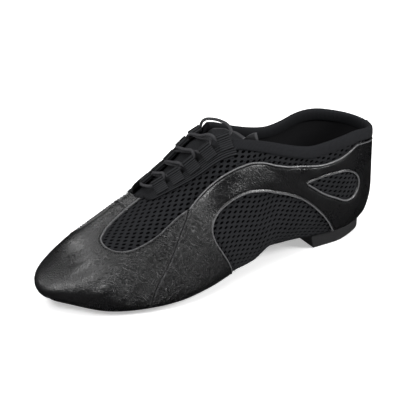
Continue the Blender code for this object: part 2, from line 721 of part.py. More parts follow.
def make_loop(name, frame):
    base, toward, across, off = frame
    eye = LOOP_HOLE + LOOP_EYE_WALL
    border = [(-LOOP_TAIL, 0.0), (0.0, 0.0)]
    border += [(LOOP_EYE_REACH - eye * math.cos(a), eye - eye * math.sin(a))
               for a in np.radians(np.linspace(*LOOP_EYE_TURN, LOOP_SIDES + 2))]
    border += [(0.0, LOOP_TAIL_THICKNESS), (-LOOP_TAIL, LOOP_TAIL_THICKNESS)]
    hole = [(LOOP_EYE_REACH + LOOP_HOLE * math.cos(a), eye + LOOP_HOLE * math.sin(a))
            for a in np.linspace(0, 2 * math.pi, LOOP_SIDES + 1)[:-1]]
    loops = [np.array(border), np.array(hole)]
    faces = fill(loops, [])
    flat = np.vstack(loops)
    middle = base + across * flat[:, :1] + off * flat[:, 1:]
    slab(name, middle + toward * LOOP_LENGTH / 2, middle - toward * LOOP_LENGTH / 2, faces, "elastic")


def in_loop(frame, along, drop=0.0, aside=0.0):
    base, toward, across, off = frame
    eye = LOOP_HOLE + LOOP_EYE_WALL
    return base + across * (LOOP_EYE_REACH + aside) + off * (eye + drop) + toward * along


# Run of the lace past the mouth of a loop: a straight bit, then the bend towards the middle, with
# the upper pass lying over the lower one
LACE_MOUTH = 0.3 * MM
LACE_BEND = 1.5 * MM
LACE_ASIDE = 2.2 * MM
LACE_STACK = 1.3 * MM
LACE_DIP = 0.2
LACE_BAR = 2.0 * MM
LACE_END = 2.2 * MM
LACE_POINTS = 80

# Way of the top arch out of a loop, in millimetres: past the mouth, up, and to the middle
ARCH_COLUMNS = ("past", "up", "aside")
ARCH_WAY = ((0.3, 0.1, 0.0), (1.5, 1.1, 0.1), (3.0, 4.0, 1.0))
ARCH_SHOULDER = (3.5, 4.0, 4.0)


def lace_route(outer, inner):
    # Criss-cross: down under the later pass, over the bottom bar, and back up on top
    turn = LOOP_LENGTH / 2
    points = [in_loop(inner[0], 0)]
    side, other = inner, outer
    for k in range(LOOP_COUNT - 1):
        points += cross(side[k], other[k + 1], 1, -LACE_STACK)
        points.append(in_loop(other[k + 1], 0))
        side, other = other, side
    last = LOOP_COUNT - 1
    bar = turn + LACE_BAR
    points.append(in_loop(side[last], turn + LACE_MOUTH))
    points.append((in_loop(side[last], bar) + in_loop(other[last], bar)) / 2)
    points.append(in_loop(other[last], turn + LACE_MOUTH))
    side, other = other, side
    points.append(in_loop(side[last], 0))
    for k in range(last, 0, -1):
        points += cross(side[k], other[k - 1], -1, LACE_STACK)
        points.append(in_loop(other[k - 1], 0))
        side, other = other, side
    near, far = outer[0], inner[0]
    shoulders = [from_mouth(frame, ARCH_SHOULDER) for frame in (near, far)]
    top = (in_loop(near, -turn - LACE_BAR) + in_loop(far, -turn - LACE_BAR)) / 2
    top[2] += LACE_ARCH
    points += [from_mouth(near, row) for row in ARCH_WAY]
    points += [(shoulders[0] + top) / 2, top, (shoulders[1] + top) / 2]
    points += [from_mouth(far, row) for row in reversed(ARCH_WAY)]
    points.append(in_loop(far, -LACE_END))
    return np.array(points)


def from_mouth(frame, row):
    past, up, aside = np.array(row) * MM
    return in_loop(frame, -LOOP_LENGTH / 2 - past, up, aside)


def cross(start, end, way, rise):
    # From one loop's end to the next loop on the other side, way 1 to the toe and -1 back
    turn = LOOP_LENGTH / 2
    leave = in_loop(start, way * (turn + LACE_MOUTH))
    bend = in_loop(start, way * (turn + LACE_BEND), rise, LACE_ASIDE)
    turned = in_loop(end, -way * (turn + LACE_BEND), rise, LACE_ASIDE)
    enter = in_loop(end, -way * (turn + LACE_MOUTH))
    middle = (bend + turned) / 2
    middle[2] += rise * LACE_DIP
    return [leave, bend, middle, turned, enter]


def make_lace(outer, inner):
    route = lace_route(outer, inner)
    run = np.r_[0, np.cumsum(np.linalg.norm(np.diff(route, axis=0), axis=1))]
    counts = np.arange(len(route))
    path = smooth(run, route, np.interp(np.linspace(0, counts[-1], LACE_POINTS), counts, run))
    curve = bpy.data.curves.new("lace", "CURVE")
    curve.dimensions = "3D"
    spline = curve.splines.new("POLY")
    spline.points.add(len(path) - 1)
    for spot, point in zip(spline.points, path):
        spot.co = (*point, 1.0)
    curve.bevel_depth = LACE_RADIUS
    curve.bevel_resolution = 2
    curve.use_fill_caps = True
    made = bpy.data.objects.new("lace", curve)
    curve.materials.append(material("cord"))
    bpy.context.scene.collection.objects.link(made)


def make_lacing():
    frames = {}
    for side, flip in (("outer", False), ("inner", True)):
        frames[side] = [loop_frame(k, flip) for k in range(LOOP_COUNT)]
        for k, frame in enumerate(frames[side]):
            make_loop(f"lace_loop_{side}_{k + 1}", frame)
    make_lace(frames["outer"], frames["inner"])


TONGUE_END = 4.15
TONGUE_TIP = 7.4
TONGUE_ROWS = 12
TONGUE_ACROSS = 5
TONGUE_END_EDGE = 0.800
TONGUE_FREE_TO = 4.9
TONGUE_TUCK_FROM = 5.3


def make_tongue():
    # Tucked under the eyestays in front, free behind them, where it sags between its corners
    near = np.linspace(TONGUE_END, TONGUE_TIP, TONGUE_ROWS)
    settle = ease((near - TONGUE_FREE_TO) / (TONGUE_TUCK_FROM - TONGUE_FREE_TO))
    free = WALL + BINDING_GAP + BINDING + 2 * GAP
    held = WALL + 2 * GAP
    out = -(free + (held - free) * settle)
    points, rows = {"high": [], "low": []}, []
    for k, section in enumerate(near):
        for flip in (False, True):
            here = ROUND - section if flip else section
            top, length = float(rim(here)[0]), girth(here)[0]
            edge = min(TONGUE_END_EDGE, top - GAP / length)
            edge += (top - TONGUE_TUCK / length - edge) * float(settle[k])
            ladder = np.linspace(edge, 1, TONGUE_ACROSS + 1)
            ladder = ladder if not flip else ladder[-2::-1]
            for store, deeper in (("high", 0), ("low", TONGUE_THICKNESS)):
                points[store].extend(on_last(np.full(len(ladder), here), ladder, out[k] - deeper))
        width = 2 * TONGUE_ACROSS + 1
        rows.append([k * width + j for j in range(width)])
        sag = TONGUE_SAG * ease((TONGUE_TUCK_FROM - section) / (TONGUE_TUCK_FROM - TONGUE_END))
        for store in ("high", "low"):
            for j in range(width):
                t = abs(j - TONGUE_ACROSS) / TONGUE_ACROSS
                points[store][k * width + j][2] -= sag * (1 - t**2)
    slab("tongue", points["high"], points["low"], net_faces(rows, closed=False), "mesh")


def edge_share(section, inset):
    # Share under the foot that lies the given length inside the bottom edge
    wide, spine, edge_inset, _, _ = plan(section)
    return -inset / (np.linalg.norm(wide - spine, axis=1) - edge_inset)


INSOLE_RINGS = 2
INSOLE_CLEAR = 0.9 * MM


def make_insole():
    tops = edge_share(INSOLE_STATIONS, INSOLE_EDGE_INSET)
    keys, rows = net(INSOLE_STATIONS, np.full(len(INSOLE_STATIONS), -1.0), tops, INSOLE_RINGS, 0)
    high = on_last(keys[:, 0], keys[:, 1], -WALL - INSOLE_CLEAR)
    low = on_last(keys[:, 0], keys[:, 1], -WALL - INSOLE_CLEAR - INSOLE_THICKNESS)
    slab("insole", high, low, net_faces(rows, closed=True), "lining")


# The forefoot sole starts in a round end and has its full width from SOLE_FULL on
SOLE_BACK = 4.75
SOLE_FULL = 5.5
SOLE_BACK_ROWS = 5
SOLE_BACK_SLIVER = 0.02
SOLE_RINGS = 3


def make_forefoot_sole():
    ahead = OUTER_STATIONS[OUTER_STATIONS > SOLE_FULL + 0.2]
    near = np.r_[np.linspace(SOLE_BACK, SOLE_FULL, SOLE_BACK_ROWS), ahead]
    sections = np.r_[near, TOE_ROW, (ROUND - near)[::-1]]
    inward = np.minimum(sections, ROUND - sections)
    grow = np.clip((inward - SOLE_BACK) / (SOLE_FULL - SOLE_BACK), SOLE_BACK_SLIVER, 1)
    full = edge_share(sections, SOLE_EDGE_INSET)
    tops = -1 + (1 + full) * np.sqrt(1 - (1 - grow) ** 2)
    keys, rows = net(sections, np.full(len(sections), -1.0), tops, SOLE_RINGS, 0)
    high = on_last(keys[:, 0], keys[:, 1], GAP)
    low = high - np.array((0, 0, SOLE_THICKNESS))
    slab("forefoot_sole", high, low, net_faces(rows, closed=False), "rubber")


HEEL_SIDE_INSET = 1.45
HEEL_TAPER = 0.5 * MM
HEEL_ROWS = 14
HEEL_REACH = 2.2


def make_heel():
    sections = np.linspace(-HEEL_REACH, HEEL_REACH, HEEL_ROWS)
    wide, spine, inset, _, _ = plan(sections)
    away = (wide - spine) / np.linalg.norm(wide - spine, axis=1)[:, None]
    rings = []
    for z, smaller, front in ((HEEL_HEIGHT, 0.0, HEEL_LENGTH + HEEL_BREAST_SLOPE),
                              (0.0, HEEL_TAPER, HEEL_LENGTH)):
        line = wide - away * (inset * HEEL_SIDE_INSET + smaller)[:, None]
        near, far = line[-1], line[0]
        ends = [(front, near[1]), (front, far[1])]
        ring = np.vstack([line, ends])
        rings.append([(x, y, z) for x, y in ring])
    count = len(rings[0])
    points = rings[0] + rings[1]
    faces = [tuple(reversed(range(count))), tuple(range(count, 2 * count))]
    faces += [(k, (k + 1) % count, (k + 1) % count + count, k + count) for k in range(count)]
    add_object("heel", points, faces, "rubber")


def centre_on_floor():
    # The origin goes to the middle of the box's bottom
    bpy.context.view_layer.update()
    corners = [ob.matrix_world @ Vector(c) for ob in bpy.context.scene.objects for c in ob.bound_box]
    middle = [(min(c[k] for c in corners) + max(c[k] for c in corners)) / 2 for k in (0, 1)]
    floor = min(c[2] for c in corners)
    for ob in bpy.context.scene.objects:
        ob.location = (-middle[0], -middle[1], -floor)


for old in list(bpy.data.objects):
    bpy.data.objects.remove(old)
make_upper()
make_leather()
make_binding()
make_eyestays()
make_lacing()
make_tongue()
make_insole()
make_forefoot_sole()
make_heel()
centre_on_floor()
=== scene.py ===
import math

import bmesh
import bpy
import numpy as np
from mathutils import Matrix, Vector
from mathutils.geometry import delaunay_2d_cdt
from mathutils.kdtree import KDTree


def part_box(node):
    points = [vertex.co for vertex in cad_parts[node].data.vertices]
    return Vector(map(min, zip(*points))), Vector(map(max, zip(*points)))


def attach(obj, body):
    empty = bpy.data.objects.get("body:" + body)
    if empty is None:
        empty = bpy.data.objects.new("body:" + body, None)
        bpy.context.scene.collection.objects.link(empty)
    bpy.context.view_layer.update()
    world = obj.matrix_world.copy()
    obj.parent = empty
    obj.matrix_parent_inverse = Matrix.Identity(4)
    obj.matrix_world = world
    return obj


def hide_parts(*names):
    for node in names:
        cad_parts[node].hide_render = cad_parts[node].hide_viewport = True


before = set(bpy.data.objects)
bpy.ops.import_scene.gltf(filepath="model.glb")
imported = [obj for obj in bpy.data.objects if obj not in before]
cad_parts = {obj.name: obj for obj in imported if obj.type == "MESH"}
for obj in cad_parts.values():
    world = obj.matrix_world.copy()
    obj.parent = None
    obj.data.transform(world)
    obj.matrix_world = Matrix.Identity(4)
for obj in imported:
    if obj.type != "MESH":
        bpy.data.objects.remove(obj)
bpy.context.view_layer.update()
mm = 0.001

# Sizes of the last and of the pieces on it, as in the solids
last = {
    "length": 248 * mm, "ballWidth": 88 * mm, "crownHeight": 92 * mm, "collarHeight": 78 * mm,
    "toeSpring": 7.0 * mm, "edgeRound": 1.2 * mm, "soleThickness": 2.2 * mm, "heelHeight": 9.7 * mm,
    "heelLength": 55 * mm, "heelSlope": 2 * mm, "gap": 0.3 * mm, "wall": 1.4 * mm,
    "shankStart": 0.24, "shankEnd": 0.62, "springStart": 0.79, "sideBulge": 2.2,
}
last["forefootSeat"] = last["soleThickness"] + last["gap"]
last["archRise"] = last["heelHeight"] - last["soleThickness"]

# Plan: spine, outer and inner widest point of each section, as (at, out) in length and ball width
sections = (
    ("heelBack", 0.125, 0.000, 0.000, 0.000, 0.000, 0.000),
    ("heelCorner", 0.125, 0.000, 0.028, 0.170, 0.028, -0.185),
    ("heelSide", 0.135, 0.000, 0.130, 0.310, 0.130, -0.325),
    ("waistBack", 0.250, 0.000, 0.250, 0.335, 0.250, -0.345),
    ("waist", 0.380, 0.000, 0.380, 0.376, 0.380, -0.340),
    ("archFront", 0.500, -0.025, 0.500, 0.430, 0.500, -0.370),
    ("jointBack", 0.600, -0.060, 0.595, 0.490, 0.610, -0.430),
    ("joint", 0.690, -0.085, 0.680, 0.510, 0.710, -0.470),
    ("toeSide", 0.780, -0.085, 0.770, 0.482, 0.800, -0.450),
    ("toeCorner", 0.850, -0.075, 0.875, 0.368, 0.890, -0.338),
    ("toeFront", 0.860, -0.070, 0.960, 0.150, 0.962, -0.243),
    ("toeTip", 0.860, -0.070, 1.000, -0.015, 1.000, -0.015),
)
toeRow = len(sections) - 1
roundTrip = 2 * toeRow

# Side of the last: section, inset of the bottom edge, then lift and widest height, outer and inner
sides = (
    (0, 0.060, 0.00, 0.400, 0.00, 0.400),
    (2, 0.050, 0.00, 0.330, 0.00, 0.330),
    (3, 0.070, 0.10, 0.330, 0.30, 0.340),
    (3.6, 0.090, 0.42, 0.315, 0.50, 0.342),
    (4, 0.095, 0.66, 0.300, 0.60, 0.340),
    (4.35, 0.085, 0.22, 0.280, 0.62, 0.325),
    (5, 0.080, 0.26, 0.240, 0.60, 0.290),
    (6, 0.070, 0.14, 0.190, 0.22, 0.210),
    (7, 0.060, 0.00, 0.150, 0.03, 0.160),
    (9, 0.055, 0.00, 0.142, 0.00, 0.142),
    (11, 0.045, 0.00, 0.175, 0.00, 0.175),
)

# Ridge of the crown: at, height, fullness; and the topline: at, outer and inner height
crownRows = (
    (0.00, 1.350, 3.40), (0.20, 1.350, 3.30), (0.32, 1.250, 3.00), (0.42, 1.100, 2.60),
    (0.50, 1.010, 2.30), (0.58, 0.815, 2.10), (0.66, 0.669, 2.05), (0.74, 0.557, 2.10),
    (0.82, 0.457, 2.15), (0.90, 0.380, 2.20), (0.96, 0.276, 2.20), (1.00, 0.199, 2.20),
)
toplineRows = (
    (0.00, 0.930, 0.930), (0.05, 0.975, 0.965), (0.10, 1.015, 0.987), (0.15, 1.022, 0.970),
    (0.20, 1.012, 0.924), (0.25, 1.008, 0.906), (0.30, 1.045, 0.939), (0.34, 1.090, 0.985),
    (0.38, 1.135, 1.041), (0.42, 1.165, 1.105), (0.46, 1.180, 1.162), (0.52, 1.185, 1.185),
)
throat = {"back": 0.47, "front": 0.695, "backOut": -0.034, "frontOut": -0.130, "endRound": 0.02,
          "backHalf": 19.0 * mm, "frontHalf": 7.5 * mm, "base": 7.12, "overlap": 0.05}

# Seams, as (section, share of the way up)
seams = {
    "front": ((8.05, 0.0), (8.00, 0.145), (7.83, 0.245), (7.50, 0.335), (7.12, 0.434),
              (6.78, 0.525), (6.55, 0.575), (6.28, 0.648)),
    "bandTop": ((6.28, 0.648), (5.93, 0.680), (5.65, 0.694), (5.35, 0.694), (5.03, 0.685),
                (4.72, 0.677), (4.48, 0.667), (4.23, 0.631), (3.95, 0.567), (3.65, 0.515),
                (3.35, 0.481), (3.00, 0.447), (2.70, 0.432), (2.35, 0.433), (2.05, 0.452),
                (1.75, 0.476), (1.48, 0.495), (0.80, 0.520), (0.00, 0.530)),
    "arch": ((2.35, 0.0), (2.68, 0.114), (2.98, 0.196), (3.33, 0.278), (3.65, 0.338),
             (3.98, 0.396), (4.30, 0.464), (4.60, 0.501), (4.95, 0.515), (5.28, 0.518),
             (5.58, 0.508), (5.77, 0.475), (5.86, 0.425), (5.83, 0.365), (5.68, 0.285),
             (5.45, 0.181), (5.27, 0.092), (5.10, 0.0)),
    "heel": ((3.18, 0.359), (2.82, 0.359), (2.43, 0.353), (2.06, 0.339), (1.82, 0.308),
             (1.69, 0.265), (1.70, 0.223), (1.86, 0.188), (2.07, 0.185), (2.41, 0.222),
             (2.76, 0.273), (3.00, 0.321)),
    "outerMesh": ((6.28, 0.648), (6.60, 0.642), (6.95, 0.620), (7.38, 0.588), (7.85, 0.573),
                  (8.18, 0.578), (8.40, 0.605), (8.58, 0.660), (8.68, 0.738), (8.66, 0.825),
                  (8.40, 0.895), (7.90, 0.938), (7.53, 0.955), (7.05, 0.958)),
    "innerMesh": ((15.02, 0.845), (14.55, 0.812), (14.10, 0.800), (13.65, 0.765), (13.38, 0.710),
                  (13.30, 0.630), (13.36, 0.560), (13.55, 0.510), (13.85, 0.480), (14.15, 0.475),
                  (14.60, 0.495), (15.05, 0.535), (15.45, 0.570), (15.72, 0.590)),
    "innerFront": ((15.72, 0.590), (15.45, 0.530), (15.22, 0.480), (14.88, 0.400),
                   (14.50, 0.310), (14.17, 0.230), (14.00, 0.140), (13.95, 0.0)),
}


def smoothCurve(knots, values, at, closed=False):
    # Curve through the rows of a table whose knots may stand at uneven places
    knots = np.asarray(knots, float)
    values = np.asarray(values, float).reshape(len(knots), -1)
    at = np.atleast_1d(np.asarray(at, float))
    if closed:
        turn = knots[-1] - knots[0]
        knots = np.r_[knots[-2] - turn, knots, knots[1] + turn]
        values = np.vstack([values[-2], values, values[1]])
        at = (at - knots[1]) % turn + knots[1]
    else:
        knots = np.r_[2 * knots[0] - knots[1], knots, 2 * knots[-1] - knots[-2]]
        values = np.vstack([2 * values[0] - values[1], values, 2 * values[-1] - values[-2]])
        at = np.clip(at, knots[1], knots[-2])
    row = np.clip(np.searchsorted(knots, at, side="right") - 1, 1, len(knots) - 3)
    step = (knots[row + 1] - knots[row])[:, None]

    def slope(k):
        before = (knots[k] - knots[k - 1])[:, None]
        after = (knots[k + 1] - knots[k])[:, None]
        rise = (values[k] - values[k - 1]) / before * after
        fall = (values[k + 1] - values[k]) / after * before
        return (rise + fall) / (before + after)

    f = (at - knots[row])[:, None] / step
    return ((2 * f**3 - 3 * f**2 + 1) * values[row] + (f**3 - 2 * f**2 + f) * step * slope(row)
            + (3 * f**2 - 2 * f**3) * values[row + 1] + (f**3 - f**2) * step * slope(row + 1))


def ease(t):
    t = np.clip(t, 0.0, 1.0)
    return t * t * (3 - 2 * t)


def runAlong(points):
    return np.r_[0, np.cumsum(np.linalg.norm(np.diff(points, axis=0), axis=1))]


def readAlong(points, run, at):
    return np.column_stack([np.interp(at, run, column) for column in points.T])


def unit(vectors):
    return vectors / np.linalg.norm(vectors, axis=-1, keepdims=True)


def smoothed(path, times):
    for _ in range(times):
        path[1:-1] = (path[:-2] + 2 * path[1:-1] + path[2:]) / 4
    return path


def crownAt(x):
    table = np.array(crownRows)
    row = smoothCurve(table[:, 0], table[:, 1:], np.ravel(x) / last["length"])
    return row[:, 0].reshape(np.shape(x)) * last["crownHeight"], row[:, 1].reshape(np.shape(x))


def underAt(x):
    at = x / last["length"]
    heel = 1 - ease((at - last["shankStart"]) / (last["shankEnd"] - last["shankStart"]))
    toe = np.clip((at - last["springStart"]) / (1 - last["springStart"]), 0, 1) ** 2
    return last["forefootSeat"] + heel * last["archRise"] + toe * last["toeSpring"]


def planAt(section):
    section = np.atleast_1d(np.asarray(section, float)) % roundTrip
    rows = np.array([row[1:] for row in sections])
    outer, inner = rows[:, 2:4], rows[:, 4:6]
    loop = np.vstack([outer, inner[-2:0:-1], outer[:1]])
    scale = [last["length"], last["ballWidth"]]
    wide = smoothCurve(np.arange(roundTrip + 1), loop, section, closed=True) * scale
    near = np.where(section <= toeRow, section, roundTrip - section)
    spine = np.stack([np.interp(near, np.arange(toeRow + 1), rows[:, k]) for k in (0, 1)], 1) * scale
    side = np.array(sides)
    knots = np.r_[side[:, 0], roundTrip - side[-2:0:-1, 0], roundTrip]
    pairs = ((1, 1), (2, 4), (3, 5))
    table = [np.r_[side[:, a], side[-2:0:-1, b], side[0, a]] for a, b in pairs]
    inset, lift, widest = smoothCurve(knots, np.stack(table, 1), section, closed=True).T
    lift = np.maximum(lift, 0) * last["archRise"]
    return wide, spine, inset * last["ballWidth"], lift, widest * last["crownHeight"]


outlineSteps = {"under": 14, "side": 12, "crown": 48, "underRoundFrom": 0.8}


def outlinesAt(section):
    wide, spine, inset, lift, wideZ = planAt(section)
    reach = np.linalg.norm(wide - spine, axis=1)
    away = (wide - spine) / reach[:, None]
    edge = reach - inset
    rows = []
    for step in range(outlineSteps["under"]):
        t = step / outlineSteps["under"]
        point = spine + away * (edge * t)[:, None]
        start = outlineSteps["underRoundFrom"]
        turn = max(0.0, (t - start) / (1 - start)) ** 2
        z = underAt(point[:, 0]) + lift * t * t + last["edgeRound"] * turn
        rows.append(np.column_stack([point, z]))
    corner = spine + away * edge[:, None]
    edgeZ = underAt(corner[:, 0]) + lift + last["edgeRound"]
    for step in range(outlineSteps["side"]):
        fall = 1 - step / outlineSteps["side"]
        point = spine + away * (reach - inset * fall ** last["sideBulge"])[:, None]
        rows.append(np.column_stack([point, wideZ - (wideZ - edgeZ) * fall]))
    fullness = crownAt(spine[:, 0])[1]
    for step in range(outlineSteps["crown"] + 1):
        turn = step / outlineSteps["crown"] * math.pi / 2
        across = math.cos(turn) ** (2 / fullness) if step < outlineSteps["crown"] else 0 * fullness
        rise = math.sin(turn) ** (2 / fullness)
        point = spine + away * (reach * across)[:, None]
        rows.append(np.column_stack([point, wideZ + (crownAt(point[:, 0])[0] - wideZ) * rise]))
    return np.stack(rows, 1)


def sharesOf(outline):
    # -1 at the spine below, 0 at the bottom edge, 1 at the ridge; and the way from edge to ridge
    run = np.linalg.norm(np.diff(outline, axis=1), axis=2)
    run = np.concatenate([np.zeros((len(outline), 1)), np.cumsum(run, 1)], 1)
    below, above = run[:, outlineSteps["under"]][:, None], run[:, -1:]
    over = np.clip((run - below) / (above - below), 0, 1)
    return np.where(run < below, run / below - 1, over), (above - below)[:, 0]


def placeGrid(section, up):
    outline = outlinesAt(section)
    shares, _ = sharesOf(outline)
    return np.array([np.stack([np.interp(up, s, o[:, k]) for k in range(3)], 1)
                     for s, o in zip(shares, outline)])


# The last as a fine grid of points and normals, read between its points from then on
grid = {"step": 0.05, "under": 30, "over": 120, "rimTries": 400,
        "normalUp": 0.015, "normalSection": 0.04, "pole": 0.94}
gridSections = np.arange(0, roundTrip + grid["step"] / 2, grid["step"])
gridUps = np.r_[np.linspace(-1, 0, grid["under"] + 1)[:-1], np.linspace(0, 1, grid["over"] + 1)]
gridPoints = placeGrid(gridSections, gridUps)
climb = (placeGrid(gridSections, np.minimum(gridUps + grid["normalUp"], 1))
         - placeGrid(gridSections, np.maximum(gridUps - grid["normalUp"], -1)))
offPole = np.clip(gridUps, -grid["pole"], grid["pole"])
along = (placeGrid(gridSections + grid["normalSection"], offPole)
         - placeGrid(gridSections - grid["normalSection"], offPole))
gridNormals = unit(np.cross(climb, along))
gridGirth = sharesOf(outlinesAt(gridSections))[1]
sidePoints = gridPoints[:, grid["under"]:].reshape(-1, 3)
ownLow, ownHigh = sidePoints.min(0), sidePoints.max(0)
boxLow, boxHigh = (np.array(corner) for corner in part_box("upper"))
shift = np.array([boxLow[0] - ownLow[0], (boxLow[1] + boxHigh[1] - ownLow[1] - ownHigh[1]) / 2, 0])
gridPoints += shift
print("last ready, shifted by", shift.round(4))


def onLast(section, up, out=0.0):
    # Points of the last moved out along its normal; past the ridge they go on down the other side
    section, up, out = np.broadcast_arrays(*(np.asarray(v, float) for v in (section, up, out)))
    over = up > 1
    section = np.where(over, roundTrip - section, section) % roundTrip
    up = np.where(over, 2 - up, up)
    a = section / grid["step"]
    i = np.minimum(a.astype(int), len(gridSections) - 2)
    f = (a - i)[..., None]
    b = np.interp(up, gridUps, np.arange(len(gridUps)))
    j = np.minimum(b.astype(int), len(gridUps) - 2)
    g = (b - j)[..., None]

    def read(table):
        low = table[i, j] * (1 - f) + table[i + 1, j] * f
        high = table[i, j + 1] * (1 - f) + table[i + 1, j + 1] * f
        return low * (1 - g) + high * g

    normal = unit(read(gridNormals))
    return read(gridPoints) + normal * out[..., None]


def girthAt(section):
    return np.interp(np.asarray(section, float) % roundTrip, gridSections, gridGirth)


def throatAt(x):
    at = x / last["length"]
    t = np.clip((at - throat["back"]) / (throat["front"] - throat["back"]), 0, 1)
    middle = (throat["backOut"] + (throat["frontOut"] - throat["backOut"]) * t) * last["ballWidth"]
    half = throat["backHalf"] + (throat["frontHalf"] - throat["backHalf"]) * t
    end = np.clip((throat["front"] - at) / throat["endRound"], 0, 1)
    return middle, half * np.sqrt(1 - (1 - end) ** 2)


def firstCrossing(tries, value):
    over = np.flatnonzero(value > 0)
    if not len(over):
        return 1.0
    k = over[0]
    if k == 0 or value[k - 1] <= -1.0:
        return tries[k]
    return tries[k - 1] + (tries[k] - tries[k - 1]) * value[k - 1] / (value[k - 1] - value[k])


def makeRim():
    table = np.array(toplineRows)
    tries = np.linspace(0, 1, grid["rimTries"])
    found = []
    for section in gridSections:
        points = onLast(np.full(len(tries), section), tries) - shift
        x, y, z = points.T
        height = table[:, 1 if section % roundTrip <= toeRow else 2]
        top = smoothCurve(table[:, 0], height, x / last["length"])[:, 0] * last["collarHeight"]
        middle, half = throatAt(x)
        above = np.where(x / last["length"] < throat["back"] + throat["overlap"], z - top, -1.0)
        inside = np.where(x / last["length"] > throat["back"], half - np.abs(y - middle), -1.0)
        found.append(min(firstCrossing(tries, above), firstCrossing(tries, inside)))
    return np.array(found)


gridRim = makeRim()


def rimAt(section):
    return np.interp(np.asarray(section, float) % roundTrip, gridSections, gridRim)


# Shader nodes: a socket that can stand in a formula
class Wire:
    def __init__(self, tree, socket=None):
        self.tree = tree
        self.socket = socket

    def node(self, kind, settings, inputs, output=0):
        made = self.tree.nodes.new("ShaderNode" + kind)
        for key, value in settings.items():
            setattr(made, key, value)
        for key, value in inputs.items():
            socket = made.inputs[key]
            if isinstance(value, Wire):
                self.tree.links.new(value.socket, socket)
            else:
                socket.default_value = value
        return Wire(self.tree, made.outputs[output])

    def maths(self, operation, *values):
        return self.node("Math", {"operation": operation}, dict(enumerate(values)))

    def __add__(self, other):
        return self.maths("ADD", self, other)

    def __sub__(self, other):
        return self.maths("SUBTRACT", self, other)

    def __mul__(self, other):
        return self.maths("MULTIPLY", self, other)

    def __truediv__(self, other):
        return self.maths("DIVIDE", self, other)

    def __rsub__(self, other):
        return self.maths("SUBTRACT", other, self)

    def __pow__(self, other):
        return self.maths("POWER", self, other)

    __radd__ = __add__
    __rmul__ = __mul__

    def sine(self):
        return self.maths("SINE", self)

    def limited(self):
        return self.node("Clamp", {}, {"Value": self})

    def between(self, low, high):
        # 0 below low, 1 above high, smooth in between
        return self.node("MapRange", {"interpolation_type": "SMOOTHSTEP"},
                         {"Value": self, "From Min": low, "From Max": high})


class Finish:
    # One material: its Principled shader and the wires that feed it
    def __init__(self, name):
        self.material = bpy.data.materials.new(name)
        self.material.use_nodes = True
        tree = self.material.node_tree
        self.shader = tree.nodes["Principled BSDF"]
        self.wire = Wire(tree)
        self.place = self.wire.node("TexCoord", {}, {}, 3)

    def noise(self, scale, detail=3.0, rough=0.55, place=None, warp=0.0):
        return self.wire.node("TexNoise", {}, {"Vector": place or self.place, "Scale": scale,
                                               "Detail": detail, "Roughness": rough, "Distortion": warp})

    def cells(self, scale):
        return self.wire.node("TexVoronoi", {}, {"Vector": self.place, "Scale": scale})

    def turned(self, rotation, scale):
        degrees = [math.radians(v) for v in rotation]
        turned = self.wire.node("Mapping", {}, {"Vector": self.place, "Rotation": degrees})
        return self.wire.node("VectorMath", {"operation": "MULTIPLY"}, {0: turned, 1: scale})

    def attribute(self, name):
        return self.wire.node("Attribute", {"attribute_name": name}, {}, 2)

    def mixed(self, factor, first, second):
        inputs = {0: factor, 6: first if isinstance(first, Wire) else (*first, 1),
                  7: second if isinstance(second, Wire) else (*second, 1)}
        return self.wire.node("Mix", {"data_type": "RGBA"}, inputs, 2)

    def bump(self, height, distance):
        return self.wire.node("Bump", {}, {"Height": height, "Distance": distance, "Strength": 1.0})

    def set(self, **values):
        names = {"color": "Base Color", "roughness": "Roughness", "normal": "Normal",
                 "specular": "Specular IOR Level", "glow": "Emission Color",
                 "glowStrength": "Emission Strength"}
        for key, value in values.items():
            socket = self.shader.inputs[names[key]]
            if isinstance(value, Wire):
                self.wire.tree.links.new(value.socket, socket)
            elif isinstance(value, tuple):
                socket.default_value = (*value, 1)
            else:
                socket.default_value = value
        return self.material


leatherLook = {
    "dark": (0.0030, 0.0030, 0.0033), "light": (0.009, 0.009, 0.0095), "edge": (0.085, 0.085, 0.088),
    "roughness": 0.29, "roughnessFine": 0.12, "roughnessPatches": 0.35, "roughnessWrinkles": 0.07,
    "specular": 0.62, "patches": 26, "fine": 900, "grain": 1150, "crush": 430, "wrinkle": 170,
    "firstTurn": (20, 0, 38), "firstStretch": (1.0, 4.2, 2.0),
    "secondTurn": (-10, 0, -34), "secondStretch": (1.0, 3.8, 1.6),
    "flexAt": (0.052, 0.024, 0.028), "flexReach": 0.052, "wrinkleDepth": 1.5, "bump": 0.00046,
}


